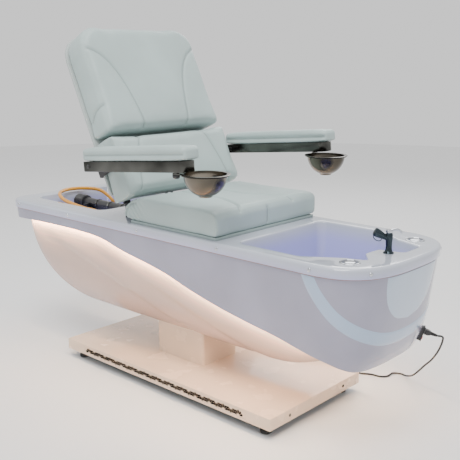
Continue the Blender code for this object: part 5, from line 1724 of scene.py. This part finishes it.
# ---------------------------------------------------------------- service bay
@dataclass
class ServiceBay:
    """The recline motor, its rod, and the water hose behind the seat."""

    floor: float = 0.5883
    axis_height: float = 0.6302
    motor_x: float = -0.800

    def build(self) -> None:
        """Builds what the bay holds."""
        self._motor()
        self._hose()

    def _along(self) -> Matrix:
        """The motor's frame, with Z along its rod."""
        return Matrix.Translation((self.motor_x, 0, self.axis_height)) @ Matrix.Rotation(
            math.pi / 2, 4, "Y")

    def _motor(self) -> None:
        """The finned motor, its cradle and the rod with its eye."""
        along = self._along()
        ribs = [(0.032 if k % 2 else 0.0305, -0.026 + 0.0045 * (k // 2) + 0.0022 * (k % 2))
                for k in range(24)]
        body = Skin().turn([(0, -0.0300), (0.029, -0.0300)] + ribs + [
            (0.0305, 0.034), (0.0220, 0.0365), (0.0220, 0.300), (0.0224, 0.301),
            (0.0224, 0.327), (0.0205, 0.330), (0.0124, 0.330), (0.0124, 0.292), (0, 0.292)], 48,
            along)
        body.box((self.motor_x - 0.028, -0.034, self.axis_height - 0.040),
                 (self.motor_x + 0.026, 0.034, self.axis_height - 0.012), 0.002)
        settle(body.done("recline_drive", 30), "carriage", PLASTIC, "recline_motor")
        refine("motor_cradle", "carriage", BLACK_STEEL, 0.0008)
        band = Skin().turn([(0.0222, 0), (0.0238, 0.0006), (0.0238, 0.0094), (0.0222, 0.010),
                            (0.0222, 0)], 48)
        places = [along @ Matrix.Translation((0, 0, z)) for z in (0.120, 0.205, 0.290)]
        SCATTER.copies("drive_bands", places, band.done("band"), "carriage", STEEL)
        pin = Vector((-0.2281, 0, self.axis_height))
        reach = pin.x - self.motor_x
        rod = Skin().turn([(0, 0.298), (0.0108, 0.298), (0.0108, reach - 0.042),
                           (0.0085, reach - 0.040), (0.0085, reach - 0.018), (0, reach - 0.018)],
                          40, along)
        settle(rod.done("recline_piston"), "recline_rod", STEEL, "recline_rod")
        eye = Skin()
        side = Matrix.Translation(pin) @ Matrix.Rotation(math.pi / 2, 4, "X")
        eye.turn([(0.0150, 0.008), (0.0200, 0.008), (0.0212, 0.007), (0.0212, -0.007),
                  (0.0200, -0.008), (0.0150, -0.008), (0.0150, 0.008)], 48, side)
        eye.turn([(0.0088, reach - 0.046), (0.0118, reach - 0.045), (0.0118, reach - 0.0205),
                  (0.0088, reach - 0.0202), (0.0088, reach - 0.046)], 6, along)
        settle(eye.done("recline_eye", 30), "recline_rod", ORANGE)

    def _hose(self) -> None:
        """The braided hose and the nuts at its two ends."""
        floor = self.floor
        route = [(-0.735, 0.125, floor + 0.003), (-0.735, 0.125, 0.625), (-0.800, 0.105, 0.668),
                 (-0.845, 0.045, 0.680), (-0.852, -0.045, 0.684), (-0.815, -0.115, 0.680),
                 (-0.745, -0.150, 0.668), (-0.665, -0.158, 0.656), (-0.590, -0.150, 0.645),
                 (-0.522, -0.130, 0.634), (-0.510, -0.115, floor + 0.003)]
        hose = Skin().tube(smooth_path(route, 0.006), 0.0080, 20)
        settle(hose.done("supply_hose", 50), "carriage", ORANGE_HOSE, "water_hose")
        nut = Skin().turn([(0.0082, 0.0), (0.0125, 0.0005), (0.0125, 0.0095), (0.0105, 0.012),
                           (0.0105, 0.016), (0.0082, 0.0165), (0.0082, 0.0)], 12)
        places = [Matrix.Translation((x, y, floor + 0.0002)) for x, y, _ in (route[0], route[-1])]
        SCATTER.copies("hose_nuts", places, nut.done("nut"), "carriage", PLASTIC)


# ---------------------------------------------------------------- power
@dataclass
class Power:
    """The inlet with its rocker, and the mains cord with its plug."""

    place: tuple[float, float, float] = (0.8688, 0.1984, 0.340)
    yaw: float = math.radians(32)
    pitch: float = math.radians(18)
    diameter: float = 0.007
    length: float = 1.79
    coil: Point2 = (0.300, 0.340)
    coil_radius: float = 0.0385

    def socket(self) -> Matrix:
        """The inlet's frame, with Z out of the casing and Y up along it.

        Returns:
            The frame.
        """
        turn = (Matrix.Rotation(self.yaw, 4, "Z")
                @ Matrix.Rotation(math.pi / 2 + self.pitch, 4, "Y")
                @ Matrix.Rotation(math.pi / 2, 4, "Z"))
        return Matrix.Translation(self.place) @ turn

    def build(self) -> None:
        """Builds the inlet, its rocker, the connector and the cord."""
        place = self.socket()
        up = 1 if (place.to_quaternion() @ Vector((0, 1, 0))).z > 0 else -1
        body = Skin().box((-0.0138, -0.0248, -0.020), (0.0138, 0.0248, 0.0070), 0.0012)
        body.box((-0.0160, -0.0270, 0.0052), (0.0160, 0.0270, 0.0078), 0.0009)
        settle(body.move(place).done("inlet_body"), "carriage", PLASTIC, "power_inlet")
        rocker = Skin().box((-0.0092, up * -0.014 - 0.0062, 0.0066),
                            (0.0092, up * -0.014 + 0.0062, 0.0108), 0.0014)
        settle(rocker.move(place).done("rocker_cap"), "rocker", RED, "power_rocker")
        neck = place @ Matrix.Translation((0, up * 0.010, 0))
        connector = Skin().loft([at(rectangle(-w, 2 * w, h, 0.003), z) for w, h, z in (
            (0.0120, 0.0085, 0.0103), (0.0125, 0.0090, 0.0115), (0.0125, 0.0090, 0.0225),
            (0.0118, 0.0084, 0.0245), (0.0082, 0.0074, 0.0310), (0.0072, 0.0068, 0.0320))],
            start=True, end=True)
        connector = settle(connector.move(neck).done("cord_socket"), "carriage", PLASTIC,
                           "cord_connector")
        ribs = [(0.0, 0.0328)]
        for k in range(9):
            z, r = 0.0330 + 0.0026 * k, 0.0066 - 0.00022 * k
            ribs += [(r, z), (r, z + 0.0014), (r - 0.0009, z + 0.0016), (r - 0.0009, z + 0.0025)]
        ribs.append((0.0, 0.0566))
        relief = settle(Skin().turn(ribs, 32, neck).done("relief_boot", 30), "carriage", RUBBER,
                        "strain_relief")
        self._cord(neck)

    def _cord(self, neck: Matrix) -> None:
        """The mains cord, with a coil behind the base and its plug.

        Args:
            neck: the connector's frame.
        """
        direction = (neck.to_quaternion() @ Vector((0, 0, 1))).normalized()
        start = neck @ Vector((0, 0, 0.0577))
        level = self.diameter / 2 + 0.0002
        cx, cy = self.coil
        route = [start, start + direction * 0.020, start + Vector((-0.010, 0.040, -0.064)),
                 start + Vector((-0.061, 0.092, -0.132)), start + Vector((-0.128, 0.166, -0.200)),
                 Vector((0.712, 0.462, 0.050)), Vector((0.655, 0.512, 0.012)),
                 Vector((0.615, 0.531, level)), Vector((0.588, 0.514, level)),
                 Vector((0.588, 0.474, level)), Vector((0.568, 0.450, level)),
                 Vector((0.528, 0.443, level)), Vector((0.482, 0.420, level)),
                 Vector((0.430, 0.400, level)), Vector((0.370, 0.391, level)),
                 Vector((cx + 0.004, cy + 0.050, level))]
        path = smooth_path(route, 0.0025)
        outer, inner, lift = self.coil_radius + 0.0038, self.coil_radius - 0.0038, 0.0075
        for degrees in range(96, 1191, 4):
            radius = float(np.interp(degrees, (90, 160, 400, 450, 1030, 1070, 1190),
                                     (0.050, outer, outer, inner, inner, outer, outer)))
            rise = float(np.interp(degrees, (710, 760), (0.0, lift)))
            a = math.radians(degrees)
            path.append(Vector((cx + radius * math.cos(a), cy + radius * math.sin(a),
                                level + rise)))
        plug_x = cx - self.coil_radius - 0.007 - 0.045
        last = path[-1]
        path += smooth_path([last, (cx - 0.034, cy + 0.033, 0.0120),
                             (cx - 0.060, cy + 0.012, 0.0133), (plug_x + 0.012, cy + 0.001,
                                                               0.0135),
                             (plug_x + 0.0008, cy, 0.0135)], 0.0025)[1:]
        cord = Skin().tube(path, self.diameter / 2, 12).done("mains_lead", 60)
        cord.data.materials.append(RUBBER.material())
        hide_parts("mains_cord", "cord_coil")
        plug_place = Matrix.Translation((plug_x, cy, 0.0135)) @ Matrix.Rotation(
            -math.pi / 2, 4, "Y")
        plug = Skin().turn([(0, 0.0), (0.0058, 0.0), (0.0064, 0.003), (0.0100, 0.0075),
                            (0.0122, 0.0120), (0.0130, 0.0200), (0.0130, 0.0300),
                            (0.0118, 0.0338), (0, 0.0340)], 40, plug_place)
        for y in (-0.0065, 0.0065):
            plug.turn([(0, 0.0335), (0.0024, 0.0335), (0.0024, 0.0515), (0.0014, 0.0530),
                       (0, 0.0530)], 20, plug_place @ Matrix.Translation((0, y, 0)))
        plug = settle(plug.done("plug_body"), "base", PLASTIC, "mains_plug")
        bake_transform(cord)


# ---------------------------------------------------------------- studio
@dataclass
class Studio:
    """A plain pale floor, soft lights and the camera."""

    position: tuple[float, float, float] = (2.074, -2.118, 1.282)
    turn: float = 42.42
    pitch: float = 12.75
    lens: float = 59.2

    def camera(self) -> None:
        """Places the camera, before any piece is made."""
        data = bpy.data.cameras.new("camera")
        data.lens = self.lens
        data.sensor_width = 36.0
        camera = to_object("camera", data)
        camera.location = self.position
        camera.rotation_euler = (math.radians(90 - self.pitch), 0, math.radians(self.turn))
        bpy.context.scene.camera = camera

    def build(self) -> None:
        """Makes the floor, the lights and the sky."""
        floor = Skin().loft([at(circle(9.0, 96), -0.0006), at(circle(0.01, 96), -0.0006)],
                            end=True).done("floor", upward=True)
        floor.data.materials.append(Finish("floor", "", (0.86, 0.86, 0.86), 0.7,
                                           mottle=0.0).material())
        lights = [("key", (1.3, -2.2, 4.2), 1.8, 130.0, (1.0, 0.99, 0.97)),
                  ("fill", (-3.6, -2.4, 2.2), 2.2, 18.0, (0.90, 0.95, 1.0)),
                  ("rim", (-1.5, 3.6, 3.2), 2.0, 55.0, (1.0, 1.0, 1.0)),
                  ("top", (0.3, 0.2, 4.2), 2.2, 50.0, (1.0, 1.0, 1.0))]
        for name, place, size, power, colour in lights:
            data = bpy.data.lights.new(name, "AREA")
            data.size = size
            data.energy = power
            data.color = colour
            lamp = to_object(name, data)
            lamp.location = place
            way = Vector((0.1, 0.0, 0.5)) - Vector(place)
            lamp.rotation_euler = way.to_track_quat("-Z", "Y").to_euler()
        world = bpy.data.worlds.new("studio")
        world.use_nodes = True
        sky = world.node_tree.nodes["Background"]
        sky.inputs["Color"].default_value = (1.0, 1.0, 1.0, 1.0)
        sky.inputs["Strength"].default_value = 0.98
        bpy.context.scene.world = world


def main() -> None:
    """Builds every sub-assembly in turn."""
    logging.basicConfig(level=logging.INFO, format="%(name)s: %(message)s")
    studio = Studio()
    studio.camera()
    stages: list[tuple[str, Callable[[], None]]] = [
        ("power", Power().build), ("base", Base().build), ("hull", Hull().build),
        ("seating", Seating().build)]
    stages += [(f"armrest {name}", Armrest(name, side).build) for name, side in SIDES]
    stages += [("basin fittings", BasinFittings().build), ("service bay", ServiceBay().build),
               ("studio", studio.build)]
    for label, build in stages:
        build()
        LOG.info("built %s", label)


if __name__ == "__main__":
    main()
